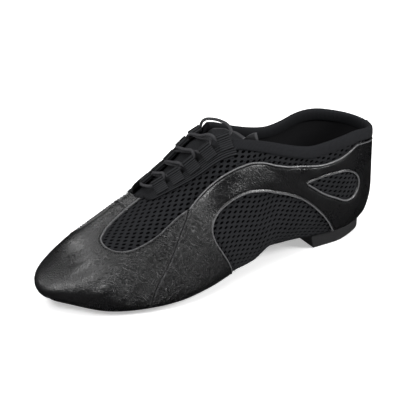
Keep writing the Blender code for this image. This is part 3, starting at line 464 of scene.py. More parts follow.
def makeLeather():
    look = leatherLook
    f = Finish("blackLeather")
    patches = f.noise(look["patches"], 2.0)
    fine = f.noise(look["fine"], 3.0, 0.6)
    crush = f.noise(look["crush"], 2.5, 0.6, None, 0.6)
    grain = f.cells(look["grain"])
    # Diagonal fine wrinkles where the ball of the foot bends, with a crossing second set
    firstWay = f.turned(look["firstTurn"], look["firstStretch"])
    secondWay = f.turned(look["secondTurn"], look["secondStretch"])
    first = f.noise(look["wrinkle"], 3.0, 0.62, firstWay, 0.9)
    second = f.noise(look["wrinkle"], 2.5, 0.6, secondWay, 0.7)
    away = f.wire.node("VectorMath", {"operation": "DISTANCE"}, {0: f.place, 1: look["flexAt"]}, 1)
    flex = 1 - (away / look["flexReach"]).between(0.35, 1.0)
    lines = 1 - ((first - 0.5) * 7.0) ** 2
    crossing = 1 - ((second - 0.5) * 8.0) ** 2
    wrinkles = (lines.limited() + crossing.limited() * 0.6) * (flex * 0.93 + 0.07)
    height = (grain * 0.2 + fine * 0.22 + crush * (flex * 1.1 + 0.15)
              - wrinkles * look["wrinkleDepth"])
    color = f.mixed((patches * 0.7 + fine * 0.3).limited(), look["dark"], look["light"])
    color = f.mixed(f.attribute("edge"), color, look["edge"])
    rough = (look["roughness"] + (fine - 0.5) * look["roughnessFine"]
             + wrinkles * look["roughnessWrinkles"] + (patches - 0.5) * look["roughnessPatches"])
    return f.set(color=color, roughness=rough, normal=f.bump(height, look["bump"]),
                 specular=look["specular"])


fabricLook = {
    "knit": (0.0050, 0.0053, 0.0060), "knitLight": (0.017, 0.0175, 0.0195),
    # backingAndShade: near black, the backing's own dark colour with painted shade; it shows through the mesh
    # holes and darkens the rib grooves
    "backingAndShade": (0.0006, 0.0006, 0.0007), "thread": (0.004, 0.004, 0.005),
    "elastic": (0.006, 0.0063, 0.0072), "elasticLight": (0.036, 0.037, 0.040),
    "binding": (0.0035, 0.0037, 0.0043), "bindingLight": (0.017, 0.0175, 0.020),
    "lining": (0.004, 0.004, 0.0045), "liningLight": (0.009, 0.009, 0.010),
    "cord": (0.020, 0.020, 0.022), "cordLight": (0.050, 0.050, 0.053),
    "tongueEdgeAndHighlight": (0.10, 0.10, 0.105), "bindingWale": 0.95 * mm, "elasticWale": 0.8 * mm,
}


def makeFabric(name, dark, light, scale, depth, specular=0.12, edge=None):
    # Close knit: yarn with finer fuzz on it, lighter in broad patches
    f = Finish(name)
    yarn = f.noise(scale, 2.0, 0.5, f.turned((0, 0, 25), (1, 1, 1)))
    fuzz = f.noise(scale * 3.1, 2.0, 0.6)
    patches = f.noise(60, 2.0)
    color = f.mixed((yarn * 0.7 + patches * 0.5 - 0.1).limited(), fabricLook[dark], fabricLook[light])
    # edge: colour of a light edge set by the edge attribute; on the tongue it also carries a painted
    # highlight
    if edge:
        color = f.mixed(f.attribute("edge"), color, fabricLook[edge])
    return f.set(color=color, roughness=0.78 + fuzz * 0.2, normal=f.bump(yarn + fuzz * 0.4, depth),
                 specular=specular)


def makeRibbed(name, wale, dark, light):
    # Elastic: the ribs are modelled, and fine wales cross them; the grooves between the ribs are painted dark
    # as shade
    f = Finish(name)
    wales = (f.attribute("along") * (2 * math.pi / fabricLook[wale])).sine() * 0.5 + 0.5
    fuzz = f.noise(2600, 2.0, 0.6)
    color = f.mixed((wales * 0.5 + fuzz * 0.6 - 0.1).limited(), fabricLook[dark], fabricLook[light])
    color = f.mixed((f.attribute("grooveShade") * 1.6).limited(), color, fabricLook["backingAndShade"])
    return f.set(color=color, roughness=0.8 + fuzz * 0.15, normal=f.bump(wales + fuzz * 0.7, 0.0001),
                 specular=0.12)


rubberLook = {"dark": (0.010, 0.010, 0.011), "light": (0.022, 0.022, 0.023),
              "suede": (0.034, 0.033, 0.033)}


def makeRubber(name, light, rough, depth):
    f = Finish(name)
    speck = f.noise(1500, 3.0, 0.65)
    patches = f.noise(45, 2.0)
    factor = (speck * 0.6 + patches * 0.6 - 0.1).limited()
    color = f.mixed(factor, rubberLook["dark"], rubberLook[light])
    return f.set(color=color, roughness=rough + (speck - 0.5) * 0.15, normal=f.bump(speck, depth),
                 specular=0.35)


leather = makeLeather()
knitFabric = makeFabric("sportsMesh", "knit", "knitLight", scale=1500, depth=0.00015)
# The backing seen through the mesh holes is painted near black: its dark colour with painted shade
backingFabric = makeFabric("meshBacking", "backingAndShade", "backingAndShade", scale=1500, depth=0.0001, specular=0.0)
liningFabric = makeFabric("footLining", "lining", "liningLight", scale=1800, depth=0.00008)
tongueFabric = makeFabric("tongueMesh", "lining", "knitLight", scale=700, depth=0.0003, edge="tongueEdgeAndHighlight")
bindingFabric = makeRibbed("collarKnit", "bindingWale", "binding", "bindingLight")
elasticFabric = makeRibbed("laceElastic", "elasticWale", "elastic", "elasticLight")
cordFabric = makeFabric("laceCord", "cord", "cordLight", scale=2200, depth=0.00012)
thread = makeFabric("blackThread", "thread", "lining", scale=2500, depth=0.00005, specular=0.0)
heelRubber = makeRubber("heelRubber", "light", rough=0.62, depth=0.00008)
soleSuede = makeRubber("soleSuede", "suede", rough=0.86, depth=0.0002)
print("materials ready")


def makePiece(name, points, faces, material, replaced, attributes=None, sharp=40):
    mesh = bpy.data.meshes.new(name)
    mesh.from_pydata(np.asarray(points).tolist(), [], [tuple(int(v) for v in f) for f in faces])
    work = bmesh.new()
    work.from_mesh(mesh)
    bmesh.ops.recalc_face_normals(work, faces=work.faces[:])
    work.to_mesh(mesh)
    work.free()
    for key, values in (attributes or {}).items():
        layer = mesh.attributes.new(key, "FLOAT", "POINT")
        layer.data.foreach_set("value", np.asarray(values, np.float32))
    mesh.shade_smooth()
    mesh.set_sharp_from_angle(angle=math.radians(sharp))
    mesh.materials.append(material)
    piece = bpy.data.objects.new(name, mesh)
    bpy.context.scene.collection.objects.link(piece)
    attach(piece, "root")
    if replaced:
        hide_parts(*replaced)
    return piece


def gridFaces(rows, columns, closedColumns=False):
    faces = []
    for r in range(rows - 1):
        for c in range(columns if closedColumns else columns - 1):
            a, b = r * columns + c, r * columns + (c + 1) % columns
            faces.append((a, b, b + columns, a + columns))
    return faces


def tubeFaces(rows, columns):
    # A closed tube with a face over each end
    ends = [tuple(range(columns)), tuple(range((rows - 1) * columns, rows * columns))[::-1]]
    return gridFaces(rows, columns, closedColumns=True) + ends


def closedSlab(high, low, faces):
    # Points and faces of a body between two copies of one net of faces
    faces = [tuple(int(v) for v in face) for face in faces]
    seen = {(a, b) for face in faces for a, b in zip(face, face[1:] + face[:1])}
    count = len(high)
    walls = [(b, a, a + count, b + count) for a, b in seen if (b, a) not in seen]
    under = [tuple(v + count for v in reversed(face)) for face in faces]
    points = np.vstack([high, low])
    used = sorted({v for face in faces + walls + under for v in face})
    order = {v: k for k, v in enumerate(used)}
    return points[used], [tuple(order[v] for v in face) for face in faces + walls + under], used


def traceLine(rows, step):
    rows = np.array(rows, float)
    run = runAlong(onLast(*rows.T))
    count = max(2, int(round(run[-1] / step)))
    return smoothCurve(run, rows, np.linspace(0, run[-1], count + 1))


def isInside(spots, loop):
    x, y = spots[:, 0][:, None], spots[:, 1][:, None]
    ax, ay = loop[:, 0][None], loop[:, 1][None]
    bx, by = np.roll(loop[:, 0], -1)[None], np.roll(loop[:, 1], -1)[None]
    crosses = (ay > y) != (by > y)
    slope = (bx - ax) / np.where(by == ay, 1e-12, by - ay)
    return (crosses & (x < ax + (y - ay) * slope)).sum(1) % 2 == 1


def topChart(section, up):
    wide, spine, _, _, _ = planAt(section)
    away = unit(wide - spine)
    over = np.asarray(up) > 1
    flipped = planAt(roundTrip - np.asarray(section))
    other = unit(flipped[0] - flipped[1])
    away = np.where(over[:, None], -other, away)
    return spine + away * ((1 - np.asarray(up)) * girthAt(section))[:, None]


wideRun = runAlong(planAt(gridSections)[0])


def sideChart(section, up):
    run = np.interp(section, gridSections, wideRun)
    return np.column_stack([run, np.asarray(up) * girthAt(section)])


def stepOnLast(section, up, direction):
    # Small step along the surface, given as a direction in space
    ds, du = 0.05, 0.01
    a = (onLast(section + ds, up) - onLast(section - ds, up)) / (2 * ds)
    b = (onLast(section, up + du) - onLast(section, up - du)) / (2 * du)
    aa, ab, bb = (a * a).sum(-1), (a * b).sum(-1), (b * b).sum(-1)
    ad, bd = (a * direction).sum(-1), (b * direction).sum(-1)
    det = aa * bb - ab * ab
    return section + (ad * bb - bd * ab) / det, up + (bd * aa - ad * ab) / det


def treeOf(points):
    tree = KDTree(len(points))
    for k, point in enumerate(points):
        tree.insert(point, k)
    tree.balance()
    return tree


def nearestIn(tree, points):
    found = [tree.find(point) for point in points]
    return np.array([f[1] for f in found]), np.array([f[2] for f in found])


# Main creases of the leather: ends as (section, up), depth and half width
creases = (
    ((7.55, 0.42), (8.55, 0.10), 0.55, 3.6), ((7.95, 0.48), (9.05, 0.16), 0.45, 3.0),
    ((8.35, 0.52), (9.45, 0.26), 0.38, 2.8), ((8.75, 0.60), (9.90, 0.40), 0.30, 2.6),
    ((7.35, 0.24), (7.95, 0.06), 0.40, 3.0), ((9.00, 0.72), (10.1, 0.60), 0.25, 2.4),
    ((6.60, 0.44), (6.20, 0.18), 0.55, 4.2), ((6.95, 0.34), (6.65, 0.08), 0.45, 3.6),
    ((5.70, 0.60), (4.70, 0.58), 0.35, 3.0), ((4.35, 0.60), (3.75, 0.44), 0.40, 3.6),
    ((3.50, 0.42), (2.95, 0.30), 0.35, 3.2), ((2.20, 0.40), (1.10, 0.42), 0.35, 4.0),
    ((1.60, 0.08), (0.90, 0.20), 0.30, 3.4),
    ((14.4, 0.40), (13.4, 0.12), 0.50, 3.4), ((14.0, 0.44), (12.9, 0.20), 0.40, 3.0),
    ((15.4, 0.40), (15.8, 0.16), 0.50, 4.0), ((17.2, 0.60), (18.0, 0.50), 0.40, 3.6),
    ((19.8, 0.40), (20.9, 0.42), 0.35, 4.0),
)
creaseLook = {"depth": 1.5, "bow": 0.03, "steps": 25, "shoulder": 0.55, "shoulderAt": 1.9,
              "shoulderWidth": 0.9, "soft": 0.16}


def creaseHeight(points):
    look = creaseLook
    height = np.zeros(len(points))
    for start, end, depth, width in creases:
        t = np.linspace(0, 1, look["steps"])
        bow = look["bow"] * np.sin(math.pi * t)
        ups = start[1] + (end[1] - start[1]) * t + bow
        line = onLast(start[0] + (end[0] - start[0]) * t, ups, 1 * mm)
        far = np.linalg.norm(points[:, None] - line[None], axis=2)
        k = far.argmin(1)
        d = far[np.arange(len(points)), k] / (width * mm)
        fade = np.sin(math.pi * np.clip(t[k], 0.02, 0.98))
        shoulder = look["shoulder"] * np.exp(-((d - look["shoulderAt"]) / look["shoulderWidth"]) ** 2)
        height += look["depth"] * depth * mm * fade * (shoulder - np.exp(-d**2))
    x, y, z = points.T / mm
    soft = np.sin(x / 11.0 + y / 17.0) * np.sin(z / 13.0 + x / 23.0) * look["soft"]
    return height + soft * mm


# Height of the leather over the last by the distance from its edge, in millimetres
leatherEdge = {
    "at": (0.0, 0.10, 0.35, 0.80, 1.20, 1.55, 1.90, 2.35, 3.20),
    "piped": (0.50, 0.98, 1.38, 1.52, 1.42, 1.16, 1.02, 1.18, 1.30),
    "plain": (0.62, 0.92, 1.16, 1.26, 1.30, 1.30, 1.30, 1.30, 1.30),
    "low": 0.20, "tucked": 0.28, "tuckedFrom": 0.03, "tuckedOver": 0.06, "stitchAt": 1.90, "clear": 4.0,
    "step": 0.9, "fineStep": 0.25, "fill": 2.0, "fillGirth": 62, "testAt": 0.8, "ownShare": 0.86,
    "creaseFrom": 3.0, "wornAt": (0.1, 0.35, 0.8, 1.2), "worn": (0.2, 1, 1, 0), "wornPlain": 0.25,
    "wornUnder": 0.3,
}


def leatherHeight(distance, piped, up):
    look = leatherEdge
    d = distance / mm
    bead = np.interp(d, look["at"], look["piped"])
    plain = np.interp(d, look["at"], look["plain"])
    height = plain + (bead - plain) * piped
    tuck = ease((look["tuckedFrom"] - up) / look["tuckedOver"])
    return (height + (look["tucked"] - height) * tuck) * mm


def makePanel(name, node, loops, chart, fillSections):
    look = leatherEdge
    borders, dense, weights = [], [], []
    for loop in loops:
        borders.append(np.vstack([traceLine(run, look["step"] * mm)[:-1] for run, piped in loop]))
        for run, piped in loop:
            dense.append(traceLine(run, look["fineStep"] * mm)[:-1])
            weights.append(np.full(len(dense[-1]), piped, float))
    flat = [chart(*border.T) for border in borders]
    tree = treeOf(onLast(*np.vstack(dense).T))

    def within(spots):
        inside = isInside(spots, flat[0])
        for hole in flat[1:]:
            inside &= ~isInside(spots, hole)
        return inside

    def covered(keys):
        return within(chart(*keys.T))

    # Rows beside each border carry its bead
    extra = []
    for border in borders:
        points = onLast(*border.T)
        run = np.roll(points, -1, axis=0) - np.roll(points, 1, axis=0)
        inward = unit(np.cross(onLast(*border.T, 1.0) - points, run))
        test = np.column_stack(stepOnLast(*border.T, inward * look["testAt"] * mm))
        if covered(test).mean() < 0.5:
            inward = -inward
        for d in look["at"][1:]:
            ring = np.column_stack(stepOnLast(*border.T, inward * d * mm))
            ring[:, 0] %= roundTrip
            _, far = nearestIn(tree, onLast(*ring.T))
            extra.append(ring[(far > look["ownShare"] * d * mm) & covered(ring)])

    # Even points fill the rest
    inner = []
    line = np.linspace(*fillSections, 400)
    for up in np.arange(-0.05, 1.0, look["fill"] / look["fillGirth"]):
        run = runAlong(onLast(line, up))
        at = np.arange(look["fill"] * mm / 2, run[-1], look["fill"] * mm)
        inner.append(np.column_stack([np.interp(at, run, line), np.full(len(at), up)]))
    if fillSections[0] < toeRow < fillSections[1]:
        ridge = np.arange(throat["base"] + 0.05, 9.3, 0.06)
        inner.append(np.column_stack([ridge, np.ones(len(ridge))]))
    inner = np.vstack(inner)
    inner[:, 0] %= roundTrip
    _, far = nearestIn(tree, onLast(*inner.T))
    inner = inner[(far > look["clear"] * mm) & covered(inner)]
    keys = np.vstack(borders + extra + [inner])

    edges, start = [], 0
    for border in borders:
        edges += [(start + k, start + (k + 1) % len(border)) for k in range(len(border))]
        start += len(border)
    result = delaunay_2d_cdt([Vector(p) for p in chart(*keys.T)], edges, [], 0, 1e-9)
    middles = np.array([[result[0][v] for v in f[:3]] for f in result[2]]).mean(1)
    faces = [tuple(result[3][v][0] for v in f) for f, kept in zip(result[2], within(middles))
             if kept and all(len(result[3][v]) for v in f)]

    base = onLast(*keys.T)
    nearest, far = nearestIn(tree, base)
    piped = np.concatenate(weights)[nearest]
    over = keys[:, 1] > 0
    height = leatherHeight(far, piped, keys[:, 1])
    height += creaseHeight(base) * ease(far / (look["creaseFrom"] * mm)) * over
    worn = np.interp(far / mm, look["wornAt"], look["worn"])
    worn = worn * (look["wornPlain"] + (1 - look["wornPlain"]) * piped) * over
    low = onLast(*keys.T, look["low"] * mm)
    points, closed, used = closedSlab(onLast(*keys.T, height), low, faces)
    edge = np.r_[worn, worn * look["wornUnder"]][used]
    makePiece(name, points, closed, leather, (node,), {"edge": edge})
    print(name, len(closed), "faces")


def mirrored(line):
    return [(roundTrip - section, up) for section, up in line]


def shifted(line, amount):
    return [(section + amount, up) for section, up in line]


panels = {"seamClear": 0.010, "tuckUp": -0.11, "vampSections": (6.2, 15.8),
          "quarterSections": (0.01, 8.2), "bandSteps": 70}
trim = {"bindingWidth": 6.5 * mm, "eyestayBack": 9.5 * mm, "eyestayFront": 6.0 * mm, "clear": 1.5 * mm,
        "bindingEnd": 4.7, "eyestayFrom": 4.86, "eyestayTo": 6.98}


def trimWidth(near):
    t = np.clip((near - trim["eyestayFrom"]) / (trim["eyestayTo"] - trim["eyestayFrom"]), 0, 1)
    stay = trim["eyestayBack"] + (trim["eyestayFront"] - trim["eyestayBack"]) * t
    return np.where(near < trim["bindingEnd"], trim["bindingWidth"], stay)


def underTrim(section, up):
    near = min(section % roundTrip, -section % roundTrip)
    low = float(rimAt(section)) - (float(trimWidth(near)) + trim["clear"]) / float(girthAt(section))
    return min(up, low)


stitchLines = []


def makeLeatherPanels():
    seamClear, tuckUp = panels["seamClear"], panels["tuckUp"]
    front, inner = list(seams["front"]), list(seams["innerFront"])
    outerMesh, innerMesh = list(seams["outerMesh"]), list(seams["innerMesh"])
    start, end = front[0][0] + seamClear, inner[-1][0] - seamClear
    loop = [([(start, tuckUp), (start, 0.0)], 0.0), (shifted(front, seamClear), 0.0),
            (shifted(outerMesh[:2], seamClear) + outerMesh[2:], 1.0),
            ([outerMesh[-1], (throat["base"], 1.0)], 0.3),
            ([(roundTrip - throat["base"], 1.0), innerMesh[0]], 0.3),
            (innerMesh[:-2] + shifted(innerMesh[-2:], -seamClear), 1.0),
            (shifted(inner, -seamClear), 0.0), ([(end, 0.0), (end, tuckUp)], 0.0)]
    bottom = np.linspace(end, start, 9)
    loop.append(([(section, tuckUp) for section in bottom], 0.0))
    makePanel("vampLeather", "vamp", [loop], topChart, panels["vampSections"])
    stitchLines.extend([outerMesh, innerMesh])

    for name, node, flip, seam in (("outerQuarter", "quarter_outer", False, front),
                                   ("innerQuarter", "quarter_inner", True, mirrored(inner)[::-1])):
        seam = shifted(seam, -seamClear)
        back = seamClear
        rows = np.array([seam[-1], *seams["bandTop"][1:-1], (back, seams["bandTop"][-1][1])])
        rows = smoothCurve(np.arange(len(rows)), rows, np.linspace(0, len(rows) - 1, panels["bandSteps"]))
        band = [(s, underTrim(roundTrip - s if flip else s, up)) for s, up in rows]
        seam[-1], corner = band[0], band[-1]
        window = list(seams["arch"])
        rear, fore = window[0][0], window[-1][0]
        loop = [([(seam[0][0], tuckUp), seam[0]], 0.0), (seam, 0.0), (band, 1.0),
                ([corner, (back, corner[1] / 2), (back, tuckUp)], 0.0),
                ([(s, tuckUp) for s in np.linspace(back, rear, 5)], 0.0),
                ([(rear, tuckUp), window[0]], 1.0), (window, 1.0),
                ([window[-1], (fore, tuckUp)], 1.0),
                ([(s, tuckUp) for s in np.linspace(fore, seam[0][0], 5)], 0.0)]
        hole = list(seams["heel"]) + [seams["heel"][0]]
        lines = [band, list(seams["arch"]), hole]
        if flip:
            loop = [(mirrored(run), piped) for run, piped in loop]
            hole = mirrored(hole)
            lines = [mirrored(line) for line in lines]
        stitchLines.extend(lines)
        first, final = panels["quarterSections"]
        span = (roundTrip - final, roundTrip - first) if flip else (first, final)
        makePanel(name, node, [loop, [(hole, 1.0)]], sideChart, span)


makeLeatherPanels()


crossSeam = {
    "from": (7.53, 0.963), "to": (14.60, 0.809), "width": 2.4 * mm, "out": 1.28 * mm, "rise": 0.42 * mm,
    # Places across it: share of the width, share of the rise, wear
    "profile": ((-0.5, -0.3, 0.0), (-0.46, 0.7, 0.5), (-0.36, 1.0, 0.5), (-0.1, 0.95, 0.0),
                (0.0, 0.35, 0.0), (0.1, 0.8, 0.0), (0.36, 0.85, 0.0), (0.46, 0.5, 0.3),
                (0.5, -0.3, 0.0)),
}


def makeCrossSeam():
    # Folded seam that crosses the strip in front of the throat
    look = crossSeam
    start, end = onLast(*look["from"]), onLast(*look["to"])
    flat = start[None, :2] + (end - start)[None, :2] * np.linspace(0, 1, 40)[:, None]
    ss, uu = np.meshgrid(np.arange(7.0, 9.4, 0.01), np.linspace(0.76, 1, 49), indexing="ij")
    halves = [(line, onLast(line, uu)[..., :2]) for line in (ss, roundTrip - ss)]
    keys = []
    for spot in flat:
        found = []
        for line, places in halves:
            off = np.linalg.norm(places - spot, axis=2)
            k = np.unravel_index(off.argmin(), off.shape)
            found.append((off[k], line[k], uu[k]))
        keys.append(min(found)[1:])
    keys = np.array(keys)
    centre = onLast(*keys.T)
    normal = smoothed(onLast(*keys.T, 1.0) - centre, 6)
    centre = smoothed(centre, 6)
    aside = unit(np.cross(normal, np.gradient(centre, axis=0)))
    rows = [centre + aside * look["width"] * across + normal * (look["out"] + look["rise"] * rise)
            for across, rise, wear in look["profile"]]
    points = np.stack(rows, 1).reshape(-1, 3)
    wears = [wear for across, rise, wear in look["profile"]]
    makePiece("vampCrossSeam", points, gridFaces(len(centre), len(wears)), leather, (),
              {"edge": np.tile(wears, len(centre))})


makeCrossSeam()


# Sports mesh: a slanted lattice of holes, in millimetres to the heel and up the side
meshLook = {
    "across": (-4.07, -1.37), "down": (1.45, -2.82), "holeAlong": (-2.59, 0.48), "holeLong": 1.58,
    "holeWide": 0.84, "top": 0.15, "rim": 0.04, "edge": 0.06, "floor": -0.42, "lip": 1.35,
    "mouth": 1.02, "bottom": 0.98, "under": 2.4, "hidden": 4.2, "joined": 0.03,
    "columns": (-70, 70), "rows": (-46, 34), "heights": (-15, 108), "toSection": 9.2,
    "archSections": (2.2, 5.3), "archUp": -0.26, "ridgeUp": 0.985, "leatherStep": 1.2,
}
sideMap = {"heights": (-16, 112), "toSection": 9.4, "step": 0.05, "from": 4.0, "underLength": 45 * mm}


def meshMap(flip):
    # Map of one side that is true to length along each row and up each section
    heights = np.arange(*sideMap["heights"], 1.0) * mm
    line = np.arange(0.0, sideMap["toSection"], sideMap["step"])
    own = roundTrip - line if flip else line
    girth = girthAt(own)
    start = int(round(sideMap["from"] / sideMap["step"]))
    runs = []
    for height in heights:
        up = height / (girth if height >= 0 else np.full(len(line), sideMap["underLength"]))
        run = runAlong(onLast(own, np.clip(up, -0.9, 1.0)))
        runs.append(run - run[start])
    return heights, line, np.array(runs), girth


def fromMap(table, spots):
    heights, line, runs, girth = table
    row = np.clip((spots[:, 1] - heights[0]) / mm, 0, len(heights) - 1.001)
    k = row.astype(int)
    f = row - k
    section = np.zeros(len(spots))
    for j in np.unique(k):
        at = k == j
        low = np.interp(spots[at, 0], runs[j], line)
        high = np.interp(spots[at, 0], runs[j + 1], line)
        section[at] = low * (1 - f[at]) + high * f[at]
    girthHere = np.interp(section, line, girth)
    up = spots[:, 1] / np.where(spots[:, 1] >= 0, girthHere, sideMap["underLength"])
    return section, up


def denseLoop(rows, step):
    # Points every step along straight runs between the rows, measured on the last
    rows = np.array([row for k, row in enumerate(rows)
                     if k == 0 or tuple(row) != tuple(rows[k - 1])], float)
    run = runAlong(onLast(rows[:, 0], np.clip(rows[:, 1], 0, 1)))
    return readAlong(rows, run, np.arange(0, run[-1], step))


def leatherZones(flip):
    # Outlines of the leather on one side, in the map's own section and up
    front = mirrored(seams["innerFront"])[::-1] if flip else list(seams["front"])
    window = mirrored(seams["innerMesh"]) if flip else list(seams["outerMesh"])[::-1]
    vamp = [*window, *front[::-1], (11.0, 0.0), (11.0, 1.0), (window[0][0], 1.0)]
    band = [*front, *seams["bandTop"], (0.0, 0.0), *seams["arch"], (front[0][0], 0.0)]
    heel = [*seams["heel"], seams["heel"][0]]
    return [denseLoop(line, meshLook["leatherStep"] * mm) for line in (vamp, band, heel)]


def makeMesh():
    look = meshLook
    a, b = np.array(look["across"]) * mm, np.array(look["down"]) * mm
    corners = [(-1, -1), (0, -1), (1, -1), (1, 0), (1, 1), (0, 1), (-1, 1), (-1, 0)]
    border = np.array([a * u / 2 + b * v / 2 for u, v in corners])
    e1 = unit(np.array(look["holeAlong"]))
    e2 = np.array((-e1[1], e1[0]))
    turn = np.arctan2(border @ e2 / look["holeWide"], border @ e1 / look["holeLong"])
    hole = (np.outer(np.cos(turn), e1) * look["holeLong"]
            + np.outer(np.sin(turn), e2) * look["holeWide"]) * mm
    rings = ((border, look["edge"]), (hole * look["lip"], look["top"]),
             (hole * look["mouth"], look["rim"]), (hole * look["bottom"], look["floor"]))
    cell = gridFaces(len(rings), len(corners), closedColumns=True)
    maps = {flip: meshMap(flip) for flip in (False, True)}
    points, faces = [], []
    for flip, table in maps.items():
        # Cells on this side, less those that the leather or the trim hides
        spots = np.array([a * i + b * j for i in range(*look["columns"]) for j in range(*look["rows"])])
        low, high = look["heights"]
        spots = spots[(spots[:, 1] > low * mm) & (spots[:, 1] < high * mm)
                      & (spots[:, 0] > table[2].min()) & (spots[:, 0] < table[2].max())]
        section, up = fromMap(table, spots)
        own = roundTrip - section if flip else section
        clear = rimAt(own) - (trimWidth(section) - look["under"] * mm) / girthAt(own)
        clear = np.where(rimAt(own) > 0.995, look["ridgeUp"], clear)
        keep = (section > 0.02) & (section < look["toSection"]) & (up < clear)
        rear, fore = look["archSections"]
        keep &= (up > 0) | ((section > rear) & (section < fore) & (up > look["archUp"]))
        spots, section, up = spots[keep], section[keep], up[keep]
        place = onLast(roundTrip - section if flip else section, up)
        shown = np.ones(len(spots), bool)
        vamp, band, teardrop = leatherZones(flip)
        keys = np.column_stack([section, np.maximum(up, 0.001)])

        def clearOf(loop):
            side = roundTrip - loop[:, 0] if flip else loop[:, 0]
            return nearestIn(treeOf(onLast(side, loop[:, 1])), place)[1] > look["hidden"] * mm

        shown &= ~(isInside(keys, vamp) & clearOf(vamp))
        shown &= ~(isInside(keys, band) & clearOf(band) & ~isInside(keys, teardrop) & clearOf(teardrop))
        for spot in spots[shown]:
            base = len(points)
            points += [(*(spot + p), out * mm, float(flip)) for ring, out in rings for p in ring]
            faces += [tuple(base + v for v in face) for face in cell]
    table = np.array(points)
    placed = np.zeros((len(table), 3))
    for flip, sideTable in maps.items():
        at = table[:, 3] == float(flip)
        section, up = fromMap(sideTable, table[at, :2])
        own = roundTrip - section if flip else section
        placed[at] = onLast(own, np.minimum(up, 1.0), table[at, 2])
    mesh = bpy.data.meshes.new("meshWork")
    mesh.from_pydata(placed.tolist(), [], faces)
    work = bmesh.new()
    work.from_mesh(mesh)
    bmesh.ops.remove_doubles(work, verts=work.verts[:], dist=look["joined"] * mm)
    merged = [v.co[:] for v in work.verts]
    work.verts.index_update()
    joined = [tuple(v.index for v in f.verts) for f in work.faces]
    work.free()
    bpy.data.meshes.remove(mesh)
    makePiece("meshKnit", merged, joined, knitFabric, (), sharp=70)
    print("mesh", len(joined), "faces")


makeMesh()


shellLook = {"step": 0.125, "frontOpening": 6.0, "heelOpening": 2.6, "openOver": 0.8,
             "seat": 11 * mm, "out": -0.44 * mm, "underRows": 6, "sideRows": 30}


def makeShell():
    # Backing under the mesh and lining inside, as one hollow wall; the backing is painted near black, its own
    # dark colour with painted shade in the mesh holes
    look = shellLook
    line = np.arange(0, roundTrip, look["step"])
    wide, spine, inset, _, _ = planAt(line)
    edge = np.linalg.norm(wide - spine, axis=1) - inset
    near = np.minimum(line, roundTrip - line)
    share = np.maximum(ease((near - look["frontOpening"]) / look["openOver"]),
                       ease((look["heelOpening"] - near) / look["openOver"]))
    low = -1 + share * (1 - look["seat"] / edge)
    index, keys, rows = {}, [], []
    for section, start, end in zip(line, low, rimAt(line)):
        ladder = np.r_[np.linspace(start, 0, look["underRows"] + 1)[:-1],
                       end * np.linspace(0, 1, look["sideRows"] + 1)]
        row = []
        for up in ladder:
            key = (round(float(section), 4), round(float(up), 5))
            if abs(up) > 0.99999:
                centre = planAt([section])[1][0]
                key = (round(float(centre[0]), 5), "ridge" if up > 0 else "spine")
            if key not in index:
                index[key] = len(keys)
                keys.append((section, up))
            row.append(index[key])
        rows.append(row)
    keys = np.array(keys)
    faces = []
    for k, here in enumerate(rows):
        there = rows[(k + 1) % len(rows)]
        for a in range(len(here) - 1):
            face = []
            for v in (here[a], here[a + 1], there[a + 1], there[a]):
                if v not in face:
                    face.append(v)
            if len(face) > 2:
                faces.append(tuple(face))
    points, closed, _ = closedSlab(onLast(*keys.T, look["out"]), onLast(*keys.T, -last["wall"]), faces)
    shell = makePiece("upperShell", points, closed, backingFabric, ("upper",))
    shell.data.materials.append(liningFabric)
    for polygon in shell.data.polygons:
        polygon.material_index = 1 if polygon.index >= len(closed) - len(faces) else 0


makeShell()


binding = {"gap": 0.25 * mm, "thick": 1.15 * mm, "seamFold": 0.5 * mm, "ripple": 0.10 * mm,
           "rippleRun": 7.3 * mm, "outerRows": 12, "stitchDown": 6.0 * mm}


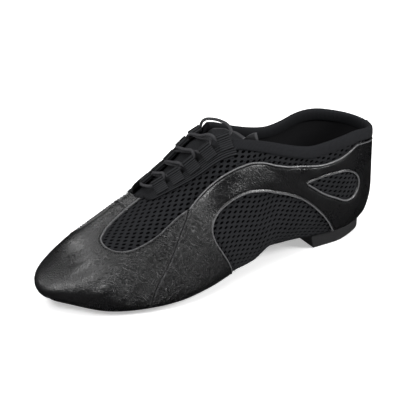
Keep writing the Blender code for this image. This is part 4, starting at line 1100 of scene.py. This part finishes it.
def makeBinding():
    near = np.arange(0, trim["bindingEnd"] + 0.13, 0.04)
    line = np.r_[roundTrip - near[:0:-1], near]
    tops, lengths = rimAt(line), girthAt(line)
    gap, thick, width = binding["gap"], binding["thick"], trim["bindingWidth"]
    wall = last["wall"]
    profile = [(-width, gap), (-width - 0.1 * mm, gap + thick * 0.5), (-width * 0.93, gap + thick * 0.95),
               (-width * 0.6, gap + thick * 1.1), (-width * 0.3, gap + thick * 1.1),
               (-0.3 * mm, gap + thick * 0.95), (0.9 * mm, gap + thick * 0.2), (1.35 * mm, -wall / 2),
               (0.9 * mm, -wall - gap - thick * 0.2), (-0.3 * mm, -wall - gap - thick * 0.9),
               (-width * 0.4, -wall - gap - thick), (-width * 0.8, -wall - gap - thick * 0.9),
               (-width, -wall - gap - thick * 0.5), (-width, -wall - gap),
               (-width * 0.5, -wall - gap * 0.6), (0.2 * mm, -wall - gap * 0.6),
               (0.35 * mm, -wall / 2), (0.2 * mm, gap * 0.6), (-width * 0.5, gap * 0.6)]
    offset = np.where(line > toeRow, line - roundTrip, line)
    run = runAlong(onLast(line, tops))
    back = run - np.interp(0, offset, run)
    # A fold and a groove stand at the seam behind the heel
    fold = (np.exp(-((back - 1.6 * mm) / (1.1 * mm)) ** 2)
            - 0.7 * np.exp(-((back + 0.6 * mm) / (0.7 * mm)) ** 2))
    rows = []
    for k, (rise, out) in enumerate(profile):
        outer = k < binding["outerRows"]
        extra = fold * binding["seamFold"] * outer * (1 if out > 0 else -1)
        ripple = binding["ripple"] * np.sin(run / binding["rippleRun"] + k) * outer
        up = tops + (rise + ripple) / lengths
        rows.append(onLast(line, np.minimum(up, 1.0), out + extra))
        rows[-1][:, 2] += np.maximum(up - 1.0, 0) * lengths
    points = np.stack(rows, 1).reshape(-1, 3)
    makePiece("collarBinding", points, tubeFaces(len(line), len(profile)), bindingFabric,
              ("collar_binding",), {"along": np.repeat(run, len(profile))}, sharp=60)
    # Stitches that hold the binding's lower edge
    near = np.arange(0.1, 4.6, 0.3)
    for line in (near, roundTrip - near):
        stitchLines.append(list(zip(line, rimAt(line) - binding["stitchDown"] / girthAt(line))))


makeBinding()


ribbed = {"pitch": 1.5 * mm, "depth": 0.42 * mm, "eyestay": 0.75 * mm, "steps": 5, "lip": 2.0 * mm,
          "lipWidth": 4.5 * mm, "lipRows": 12, "topGap": 0.2 * mm, "capRun": 0.5 * mm, "out": 0.25 * mm,
          "low": 0.18 * mm, "stitchGap": 1.6 * mm}


def makeEyestays():
    look = ribbed
    for name, node, flip in (("outerEyestay", "eyestay_outer", False),
                             ("innerEyestay", "eyestay_inner", True)):
        near = np.arange(trim["eyestayFrom"] - 0.1, trim["eyestayTo"] + 0.02, 0.03)
        line = roundTrip - near if flip else near
        width = np.maximum(trimWidth(near), trim["eyestayFront"])
        top, girth = rimAt(line), girthAt(line)
        count = int(trim["eyestayBack"] / look["pitch"]) * look["steps"]
        across = np.arange(count + 1) / look["steps"] * look["pitch"]
        share = across / across[-1]
        rib = np.abs(np.sin(across / look["pitch"] * math.pi)) * look["depth"]
        run = runAlong(onLast(line, top))
        keys, outs = [], []
        for k in range(len(line)):
            down = share * width[k] + look["topGap"]
            cap = np.clip(np.minimum(share, 1 - share) * width[k] / look["capRun"], 0.3, 1)
            keys.append(np.column_stack([np.full(len(across), line[k]), top[k] - down / girth[k]]))
            lip = look["lip"] * ease(1 - down / look["lipWidth"]) * flip
            lip = lip * ease((len(line) - k) / look["lipRows"])
            outs.append(look["out"] + look["eyestay"] * cap + rib + lip)
        keys, outs = np.vstack(keys), np.concatenate(outs)
        alongs = np.repeat(run, len(across))
        # Painted shade: how dark each groove between the ribs is painted
        grooveShades = np.tile((1 - rib / look["depth"]) ** 2, len(line))
        high, low = onLast(*keys.T, outs), onLast(*keys.T, look["low"])
        points, closed, used = closedSlab(high, low, gridFaces(len(line), len(across)))
        makePiece(name, points, closed, elasticFabric, (node,),
                  {"along": np.r_[alongs, alongs][used], "grooveShade": np.r_[grooveShades, grooveShades][used]},
                  sharp=75)
        below = top - (width + look["stitchGap"]) / girth
        stitchLines.append([(line[k], below[k]) for k in range(2, len(line), 6)])


makeEyestays()


# Lace loops and the lace: the places and the route of the solids, with the eyes hung a little lower
loops = {"count": 5, "length": 8.0 * mm, "hole": 1.5 * mm, "eyeWall": 0.55 * mm, "reach": 3.2 * mm,
         "tail": 5.5 * mm, "back": 0.488, "pitch": 0.0392, "step": 0.12, "eyestay": 0.9 * mm,
         "band": 0.85 * mm, "fabric": 0.36, "outerSink": 0.7 * mm, "innerSink": 2.3 * mm,
         "stations": (-1, -0.985, -0.94, -0.6, -0.2, 0.2, 0.6, 0.94, 0.985, 1), "widen": 0.53,
         "squeeze": 0.16 * mm, "squeezeFrom": 0.93}
lace = {"radius": 1.0 * mm, "mouth": 0.3 * mm, "bend": 1.5 * mm, "aside": 2.2 * mm, "stack": 1.3 * mm,
        "dip": 0.2, "bar": 2.0 * mm, "end": 2.2 * mm, "arch": 5.6 * mm, "sides": 16, "spacing": 0.35 * mm,
        "nearWay": ((0.3, 0.1, 0.0), (1.5, 1.1, 0.1), (2.6, 3.0, 0.3)), "archTurns": (35, 70, 105, 140),
        "farWay": ((0.3, 0.1, 0.0), (1.4, 0.7, 0.3), (2.2, 1.6, 0.9)), "farAside": 1.6 * mm,
        "braid": 0.035, "braidPitch": 2.2 * mm, "ease": 10, "archEase": 70}


middleLine = float(shift[1]) - 0.07 * last["ballWidth"]  # parts the inner from the outer loops


def loopFrame(place, flip):
    tries = np.linspace(trim["bindingEnd"], trim["eyestayTo"], 97)
    tries = roundTrip - tries if flip else tries
    edge = onLast(tries, rimAt(tries)) - shift
    at = (loops["back"] + loops["pitch"] * place) * last["length"]
    section = float(np.interp(at, edge[:, 0], tries))
    spots = np.array([section - loops["step"], section, section + loops["step"]])
    tops = rimAt(spots)
    height = 2 * last["gap"] + loops["eyestay"]
    base = onLast(spots, tops, height)
    toward = unit(base[2] - base[0] if not flip else base[0] - base[2])
    off = onLast(spots[1], tops[1], height + mm) - base[1]
    off = unit(off - toward * off.dot(toward))
    across = np.cross(toward, off)
    if across[1] * (1 if not flip else -1) > 0:
        across = -across
    return base[1], toward, across, off


def eyeHeight(loop):
    # The eye hangs a little into the throat, that of the inner side more
    sink = loops["innerSink"] if loop[0][1] < middleLine else loops["outerSink"]
    return loops["hole"] + loops["eyeWall"] - sink


def inLoop(loop, along, up=0.0, aside=0.0):
    base, toward, across, off = loop
    eye = eyeHeight(loop)
    return base + across * (loops["reach"] + aside) + off * (eye + up) + toward * along


def fromMouth(loop, row):
    past, up, aside = np.array(row) * mm
    return inLoop(loop, -loops["length"] / 2 - past, up, aside)


def crossing(start, end, way, rise):
    turn = loops["length"] / 2
    leave = inLoop(start, way * (turn + lace["mouth"]))
    asides = [lace["aside"] + lace["farAside"] * (loop[0][1] < middleLine) for loop in (start, end)]
    rises = [rise if loop[0][1] >= middleLine else min(rise, 0) for loop in (start, end)]
    bend = inLoop(start, way * (turn + lace["bend"]), rises[0], asides[0])
    turned = inLoop(end, -way * (turn + lace["bend"]), rises[1], asides[1])
    enter = inLoop(end, -way * (turn + lace["mouth"]))
    middle = (bend + turned) / 2
    middle[2] += rise * lace["dip"]
    return [leave, bend, middle, turned, enter]


def laceRoute(outer, inner):
    turn = loops["length"] / 2
    points = [inLoop(inner[0], 0)]
    side, other = inner, outer
    for k in range(loops["count"] - 1):
        points += crossing(side[k], other[k + 1], 1, -lace["stack"])
        points.append(inLoop(other[k + 1], 0))
        side, other = other, side
    bottom = loops["count"] - 1
    bar = turn + lace["bar"]
    points.append(inLoop(side[bottom], turn + lace["mouth"]))
    points.append((inLoop(side[bottom], bar) + inLoop(other[bottom], bar)) / 2)
    points.append(inLoop(other[bottom], turn + lace["mouth"]))
    side, other = other, side
    points.append(inLoop(side[bottom], 0))
    for k in range(bottom, 0, -1):
        points += crossing(side[k], other[k - 1], -1, lace["stack"])
        points.append(inLoop(other[k - 1], 0))
        side, other = other, side
    near, far = outer[0], inner[0]
    points += [fromMouth(near, row) for row in lace["nearWay"]]
    start, end = points[-1], fromMouth(far, lace["farWay"][-1])
    for degrees in lace["archTurns"]:
        t = math.radians(degrees)
        point = (start + end) / 2 + (start - end) / 2 * math.cos(t)
        point[2] += lace["arch"] * math.sin(t)
        points.append(point)
    points += [fromMouth(far, row) for row in reversed(lace["farWay"])]
    points.append(inLoop(far, -lace["end"]))
    return np.array(points)


def tubeAlong(path, radius, sides, shape):
    # Tube with a carried frame; shape gives the radius factor by turn and run
    tangent = np.gradient(path, axis=0)
    tangent = unit(tangent)
    run = runAlong(path)
    side = np.cross(tangent[0], (0, 0, 1.0))
    turn = np.arange(sides) / sides * 2 * math.pi
    points = []
    for k in range(len(path)):
        side = unit(side - tangent[k] * side.dot(tangent[k]))
        other = np.cross(tangent[k], side)
        reach = radius * shape(turn, run[k])
        circle = side * np.cos(turn)[:, None] + other * np.sin(turn)[:, None]
        points.append(path[k] + circle * reach[:, None])
    return np.vstack(points), tubeFaces(len(path), sides), np.repeat(run, sides)


def braidShape(turn, run):
    phase = run / lace["braidPitch"] * 2 * math.pi
    return 1 + lace["braid"] * (np.sin(4 * turn + phase) * np.sin(4 * turn - phase))


def makeLoop(name, node, loop):
    # A band folded round the lace: low tail, eye, high tail, as (across, off) in the loop's frame
    base, toward, across, off = loop
    band, half = loops["band"], loops["band"] * loops["fabric"]
    angles = np.radians(np.arange(-100, 171, 9))
    arc = (np.array((loops["reach"], eyeHeight(loop)))
           + (loops["hole"] + band / 2 - 0.1 * mm) * np.column_stack([np.cos(angles), np.sin(angles)]))
    low = np.column_stack([np.linspace(-loops["tail"], arc[0, 0] - 0.6 * mm, 16), np.full(16, half)])
    fall = np.linspace(0, 1, 14)
    high = np.column_stack([-0.4 * mm + fall * (0.4 * mm - loops["tail"]),
                            band * (1.35 - 1.05 * fall ** 1.5)])
    path = smoothed(np.vstack([low, arc, high]), 3)
    run = runAlong(path)
    even = np.linspace(0, run[-1], int(run[-1] / (ribbed["pitch"] / 4)))
    path = readAlong(path, run, even)
    heading = unit(np.gradient(path, axis=0))
    outward = np.column_stack([heading[:, 1], -heading[:, 0]])
    rib = np.abs(np.sin(even / ribbed["pitch"] * math.pi)) * ribbed["depth"]
    profile = np.vstack([path + outward * (half + rib)[:, None], (path - outward * half)[::-1]])
    reach = np.vstack([path, path[::-1]]) - profile
    inward = reach / np.maximum(np.linalg.norm(reach, axis=1)[:, None], 1e-6)
    stations = np.array(loops["stations"]) * loops["length"] * loops["widen"]
    start = loops["squeezeFrom"]
    rows = []
    for at in stations:
        t = abs(at) / stations[-1]
        ring = profile + inward * loops["squeeze"] * max(0, (t - start) / (1 - start)) ** 2
        rows.append(base + across * ring[:, :1] + off * ring[:, 1:] + toward * at)
    count = len(profile)
    faces = gridFaces(len(stations), count, closedColumns=True)
    for first in (0, (len(stations) - 1) * count):
        faces += [(first + k, first + k + 1, first + count - 2 - k, first + count - 1 - k)
                  for k in range(count // 2 - 1)]
    # Painted shade for the grooves between the ribs, on the outer face only
    grooveShade = (1 - rib / ribbed["depth"]) ** 2
    attributes = {"along": np.repeat(stations, count),
                  "grooveShade": np.tile(np.r_[grooveShade, 0 * grooveShade], len(stations))}
    makePiece(name, np.vstack(rows), faces, elasticFabric, (node,), attributes, sharp=75)


def makeLacing():
    frames = {side: [loopFrame(k, side == "inner") for k in range(loops["count"])]
              for side in ("outer", "inner")}
    for side, own in frames.items():
        for k, loop in enumerate(own):
            makeLoop(f"{side}Loop{k + 1}", f"lace_loop_{side}_{k + 1}", loop)
    route = laceRoute(frames["outer"], frames["inner"])
    run = runAlong(route)
    path = smoothCurve(run, route, np.arange(0, run[-1], lace["spacing"]))
    # The cord bends softly: its turns are eased, the free arch at the top most of all
    at = np.arange(len(path)) * lace["spacing"]
    free = ease((at - run[-10] + 4 * mm) / (4 * mm)) * ease((run[-2] - at) / (3 * mm))
    for step in range(lace["archEase"]):
        even = (path[:-2] + 2 * path[1:-1] + path[2:]) / 4
        share = free[1:-1, None] if step > lace["ease"] else 1.0
        path[1:-1] += (even - path[1:-1]) * share
    points, faces, alongs = tubeAlong(path, lace["radius"], lace["sides"], braidShape)
    makePiece("laceCord", points, faces, cordFabric, ("lace",), {"along": alongs}, sharp=80)
    print("lace", round(run[-1], 3), "m")


makeLacing()


tongue = {"end": 4.15, "tip": 7.4, "endEdge": 0.800, "freeTo": 4.9, "tuckFrom": 5.3, "tuck": 9.0 * mm,
          "sag": 17 * mm, "thickness": 1.6 * mm, "binding": 0.9 * mm, "bindingGap": 0.5 * mm,
          "cornerLift": (2.6 * mm, -1.2 * mm, 7.8 * mm), "cornerTo": 4.72, "cornerFrom": 0.76,
          "stations": 90, "half": 24, "edgeFrom": 0.97}


def makeTongue():
    stations = np.linspace(tongue["end"], tongue["tip"], tongue["stations"])
    settle = ease((stations - tongue["freeTo"]) / (tongue["tuckFrom"] - tongue["freeTo"]))
    free = last["wall"] + tongue["bindingGap"] + tongue["binding"] + 2 * last["gap"]
    held = last["wall"] + 2 * last["gap"]
    out = -(free + (held - free) * settle)
    half = tongue["half"]
    high, low, edges = [], [], []
    for k, section in enumerate(stations):
        rows = []
        for flip in (False, True):
            here = roundTrip - section if flip else section
            top, girth = float(rimAt(here)), float(girthAt(here))
            edge = min(tongue["endEdge"], top - last["gap"] / girth)
            edge += (top - tongue["tuck"] / girth - edge) * float(settle[k])
            ladder = np.linspace(edge, 1, half + 1)
            ladder = ladder if not flip else ladder[-2::-1]
            rows.append(np.column_stack([np.full(len(ladder), here), ladder]))
        keys = np.vstack(rows)
        j = np.abs(np.arange(len(keys)) - half) / half
        border = min(k, 6) / 6
        thick = tongue["thickness"] / 2 * np.clip(np.minimum((1 - j) * 12, border * 2 + 0.25), 0.25, 1)
        sag = tongue["sag"] * ease((tongue["tuckFrom"] - section) / (tongue["tuckFrom"] - tongue["end"]))
        drop = np.array((0, 0, 1.0)) * (sag * (1 - j**2))[:, None]
        near = np.arange(len(keys)) < half
        lift = ease((j - tongue["cornerFrom"]) / (1 - tongue["cornerFrom"])) * near
        lift = lift * ease((tongue["cornerTo"] - section) / (tongue["cornerTo"] - tongue["end"]))
        drop -= np.array(tongue["cornerLift"]) * lift[:, None]
        # Light tongue edge with a painted highlight: full on the near side, weaker on the far side, and over
        # the lifted corner
        rim = np.maximum(j > tongue["edgeFrom"], k < 2)
        edges.append(np.maximum(lift * 0.4, rim * (0.3 + 0.7 * near)))
        middle = out[k] - tongue["thickness"] / 2
        high.append(onLast(*keys.T, middle + thick) - drop)
        low.append(onLast(*keys.T, middle - thick) - drop)
    faces = gridFaces(len(stations), 2 * half + 1)
    points, closed, used = closedSlab(np.vstack(high), np.vstack(low), faces)
    edges = np.concatenate(edges)
    makePiece("tongueMesh", points, closed, tongueFabric, ("tongue",),
              {"edge": np.r_[edges, edges][used]}, sharp=60)


makeTongue()


def underShare(section, inset):
    wide, spine, edge, _, _ = planAt(section)
    return -inset / (np.linalg.norm(wide - spine, axis=1) - edge)


insole = {"step": 0.2, "inset": 5.5 * mm, "gap": 0.9 * mm, "thickness": 2.0 * mm,
          # Rings from the edge in: share of the way to the spine, and fall of the top in millimetres
          "rings": ((1, 0.9), (0.985, 0.35), (0.95, 0.05), (0.8, 0), (0.6, 0), (0.4, 0), (0.2, 0),
                    (0.05, 0))}


def makeInsole():
    line = np.arange(0, roundTrip, insole["step"])
    edge = -1 - underShare(line, insole["inset"])
    seat = -last["wall"] - insole["gap"]
    high, low = [], []
    for share, fall in insole["rings"]:
        up = -1 - edge * share
        high.append(onLast(line, up, seat - insole["thickness"] + fall * mm))
        low.append(onLast(line, up, seat))
    count = len(insole["rings"])
    faces = gridFaces(count, len(line), closedColumns=True)
    faces.append(tuple(range((count - 1) * len(line), count * len(line))))
    points, closed, _ = closedSlab(np.vstack(high), np.vstack(low), faces)
    makePiece("insolePad", points, closed, liningFabric, ("insole",))


makeInsole()


forefoot = {"back": 4.75, "full": 5.5, "inset": 3.0 * mm, "halfWidth": 35, "across": 9,
            # Rounded rim: inset and depth in millimetres
            "rim": ((0.0, 0.0), (0.0, 0.35), (0.0, 1.2), (0.1, 1.75), (0.35, 2.05), (0.9, 2.2))}


def makeForefootSole():
    back, full = forefoot["back"], forefoot["full"]
    line = np.r_[np.linspace(back, full, 20), np.arange(full + 0.1, toeRow, 0.1)]
    line = np.r_[line, toeRow, (roundTrip - line)[::-1]]
    grow = np.clip((np.minimum(line, roundTrip - line) - back) / (full - back), 0.02, 1)
    reach = (1 + underShare(line, forefoot["inset"])) * np.sqrt(1 - (1 - grow) ** 2)
    # Upper face outwards, round the rim, and back in underneath
    rings = [(share, 0.0) for share in np.linspace(0.0, 0.96, forefoot["across"])]
    rings += [(1 - inset / forefoot["halfWidth"], deep * mm) for inset, deep in forefoot["rim"]]
    rings += [(share, last["soleThickness"]) for share in np.linspace(0.94, 0.0, forefoot["across"])]
    points = []
    for share, deep in rings:
        ring = onLast(line, -1 + reach * share, last["gap"])
        ring[:, 2] -= deep
        points.append(ring)
    points = np.vstack(points)
    points[:, 2] = np.maximum(points[:, 2], 0.0)
    wide = len(line)
    ends = [(k * wide, (k + 1) * wide, (k + 2) * wide - 1, (k + 1) * wide - 1) for k in range(len(rings) - 1)]
    makePiece("forefootPad", points, gridFaces(len(rings), wide) + ends, soleSuede, ("forefoot_sole",),
              sharp=50)


makeForefootSole()


heelLook = {"reach": 2.2, "sideInset": 1.45, "taper": 0.5 * mm, "edge": 0.8 * mm, "frontSteps": 14,
            "top": ((0.0, 0.5), (0.3, 0.05), (0.7, 0.0)), "sides": (6.5 * mm, 3.3 * mm),
            "bottom": ((1.0, 0.0), (0.5, 0.14), (0.15, 0.5), (0.0, 1.0))}


def makeHeel():
    line = np.linspace(-heelLook["reach"], heelLook["reach"], 60)
    wide, spine, inset, _, _ = planAt(line)
    away = unit(wide - spine)
    edge, steps = heelLook["edge"], heelLook["frontSteps"]
    levels = [(last["heelHeight"] - down * mm, inward * mm) for down, inward in heelLook["top"]]
    levels += [(z, 0.0) for z in heelLook["sides"]]
    levels += [(edge * up, edge * inward) for up, inward in heelLook["bottom"]]
    rings = []
    for z, inward in levels:
        t = 1 - z / last["heelHeight"]
        border = wide - away * (inset * heelLook["sideInset"] + heelLook["taper"] * t + inward)[:, None]
        front = last["heelLength"] + last["heelSlope"] * (1 - t) - inward
        across = np.linspace(border[-1, 1], border[0, 1], steps)
        ring = np.vstack([border, np.column_stack([np.full(steps, front), across])])
        rings.append(np.column_stack([ring + shift[:2], np.full(len(ring), z)]))
    makePiece("heelBlock", np.vstack(rings), tubeFaces(len(rings), len(rings[0])), heelRubber, ("heel",),
              sharp=35)


makeHeel()


stitchLook = {
    "pitch": 2.3 * mm, "length": 1.55 * mm, "radius": 0.21 * mm, "sides": 6, "thinnest": 0.15,
    "beads": (0.0, 0.75, 1.0, 1.0, 0.75, 0.0), "onLeather": 1.12 * mm, "binding": 0.30 * mm,
    "eyestay": 0.95 * mm,
    # The side of its edge that each row on the leather lies on
    "ways": (1, -1, 1, 1, 1, 1, 1, 1),
}


def makeStitches():
    look = stitchLook
    beads, sides = look["beads"], look["sides"]
    turn = np.arange(sides) / sides * 2 * math.pi
    one = tubeFaces(len(beads), sides)
    points, faces = [], []
    for count, line in enumerate(stitchLines):
        keys = traceLine(line, 0.5 * mm)
        out = look["eyestay"] if count >= len(stitchLines) - 2 else look["binding"]
        if count < len(look["ways"]):
            spots = onLast(*keys.T)
            normal = onLast(*keys.T, 1.0) - spots
            inward = unit(np.cross(normal, np.gradient(spots, axis=0)))
            move = inward * look["ways"][count] * leatherEdge["stitchAt"] * mm
            keys = np.column_stack(stepOnLast(*keys.T, move))
            out = look["onLeather"]
        spots = onLast(*keys.T, out)
        run = runAlong(spots)
        for start in np.arange(look["pitch"] / 2, run[-1] - look["length"], look["pitch"]):
            centre = readAlong(spots, run, start + np.linspace(0, look["length"], len(beads)))
            tangent = unit(centre[-1] - centre[0])
            side = unit(np.cross(tangent, (0.3, 0.2, 0.93)))
            circle = side * np.cos(turn)[:, None] + np.cross(tangent, side) * np.sin(turn)[:, None]
            faces += [tuple(len(points) + v for v in face) for face in one]
            for c, size in zip(centre, beads):
                points.extend(c + circle * look["radius"] * max(size, look["thinnest"]))
    makePiece("stitching", np.array(points), faces, thread, (), sharp=80)
    print("stitches", len(faces), "faces")


makeStitches()

# Floor, light and camera of the studio
studio = {
    "floor": 6.0, "floorColor": (0.90, 0.90, 0.90), "floorGlow": 0.42, "world": 0.14,
    "lights": (("overhead", (0.10, 0.10, 2.10), (0, 0, 0.02), 2.60, 42.0),
               ("frontLeft", (1.00, 0.35, 1.05), (0.03, 0, 0.03), 0.45, 12.0),
               ("rightFill", (-1.00, 0.85, 0.75), (-0.05, 0, 0.04), 0.60, 20.0),
               ("rim", (0.25, -1.00, 0.90), (0.02, 0, 0.05), 0.50, 4.0)),
}


def makeStudio():
    half = studio["floor"] / 2
    mesh = bpy.data.meshes.new("floor")
    corners = [(-half, -half, 0), (half, -half, 0), (half, half, 0), (-half, half, 0)]
    mesh.from_pydata(corners, [], [(0, 1, 2, 3)])
    f = Finish("paleFloor")
    mesh.materials.append(f.set(color=studio["floorColor"], roughness=0.9, specular=0.1,
                                glow=(1.0, 1.0, 1.0), glowStrength=studio["floorGlow"]))
    floor = bpy.data.objects.new("floor", mesh)
    bpy.context.scene.collection.objects.link(floor)
    floor.visible_glossy = False
    world = bpy.data.worlds.new("studio")
    bpy.context.scene.world = world
    world.use_nodes = True
    world.cycles_visibility.glossy = False
    background = world.node_tree.nodes["Background"]
    background.inputs["Color"].default_value = (1, 1, 1, 1)
    background.inputs["Strength"].default_value = studio["world"]
    for name, place, target, size, power in studio["lights"]:
        light = bpy.data.lights.new(name, "AREA")
        light.shape = "DISK"
        light.size = size
        light.energy = power
        lamp = bpy.data.objects.new(name, light)
        lamp.location = place
        lamp.rotation_mode = "QUATERNION"
        lamp.rotation_quaternion = (Vector(place) - Vector(target)).to_track_quat("Z", "Y")
        bpy.context.scene.collection.objects.link(lamp)


camera = {"azimuth": 148.53, "elevation": 27.01, "distance": 1160.2 * mm, "focal": 1776.3, "width": 400,
          "centre": (209.19, 213.97), "target": (124.0, 0.0, 35.0), "sensor": 36.0}


def makeCamera():
    a, e = math.radians(camera["azimuth"]), math.radians(camera["elevation"])
    back = Vector((math.sin(a) * math.cos(e), -math.cos(a) * math.cos(e), math.sin(e)))
    target = Vector(camera["target"]) * mm + Vector(shift)
    lens = bpy.data.cameras.new("photoView")
    lens.sensor_width = camera["sensor"]
    lens.lens = camera["focal"] / camera["width"] * camera["sensor"]
    lens.shift_x = -(camera["centre"][0] - camera["width"] / 2) / camera["width"]
    lens.shift_y = (camera["centre"][1] - camera["width"] / 2) / camera["width"]
    lens.clip_start, lens.clip_end = 0.05, 20
    view = bpy.data.objects.new("photoView", lens)
    view.location = target + back * camera["distance"]
    view.rotation_mode = "QUATERNION"
    view.rotation_quaternion = (-back).to_track_quat("-Z", "Y")
    bpy.context.scene.collection.objects.link(view)
    bpy.context.scene.camera = view


makeStudio()
makeCamera()
bpy.context.scene.view_settings.view_transform = "Standard"
bpy.context.view_layer.update()
print("scene ready")
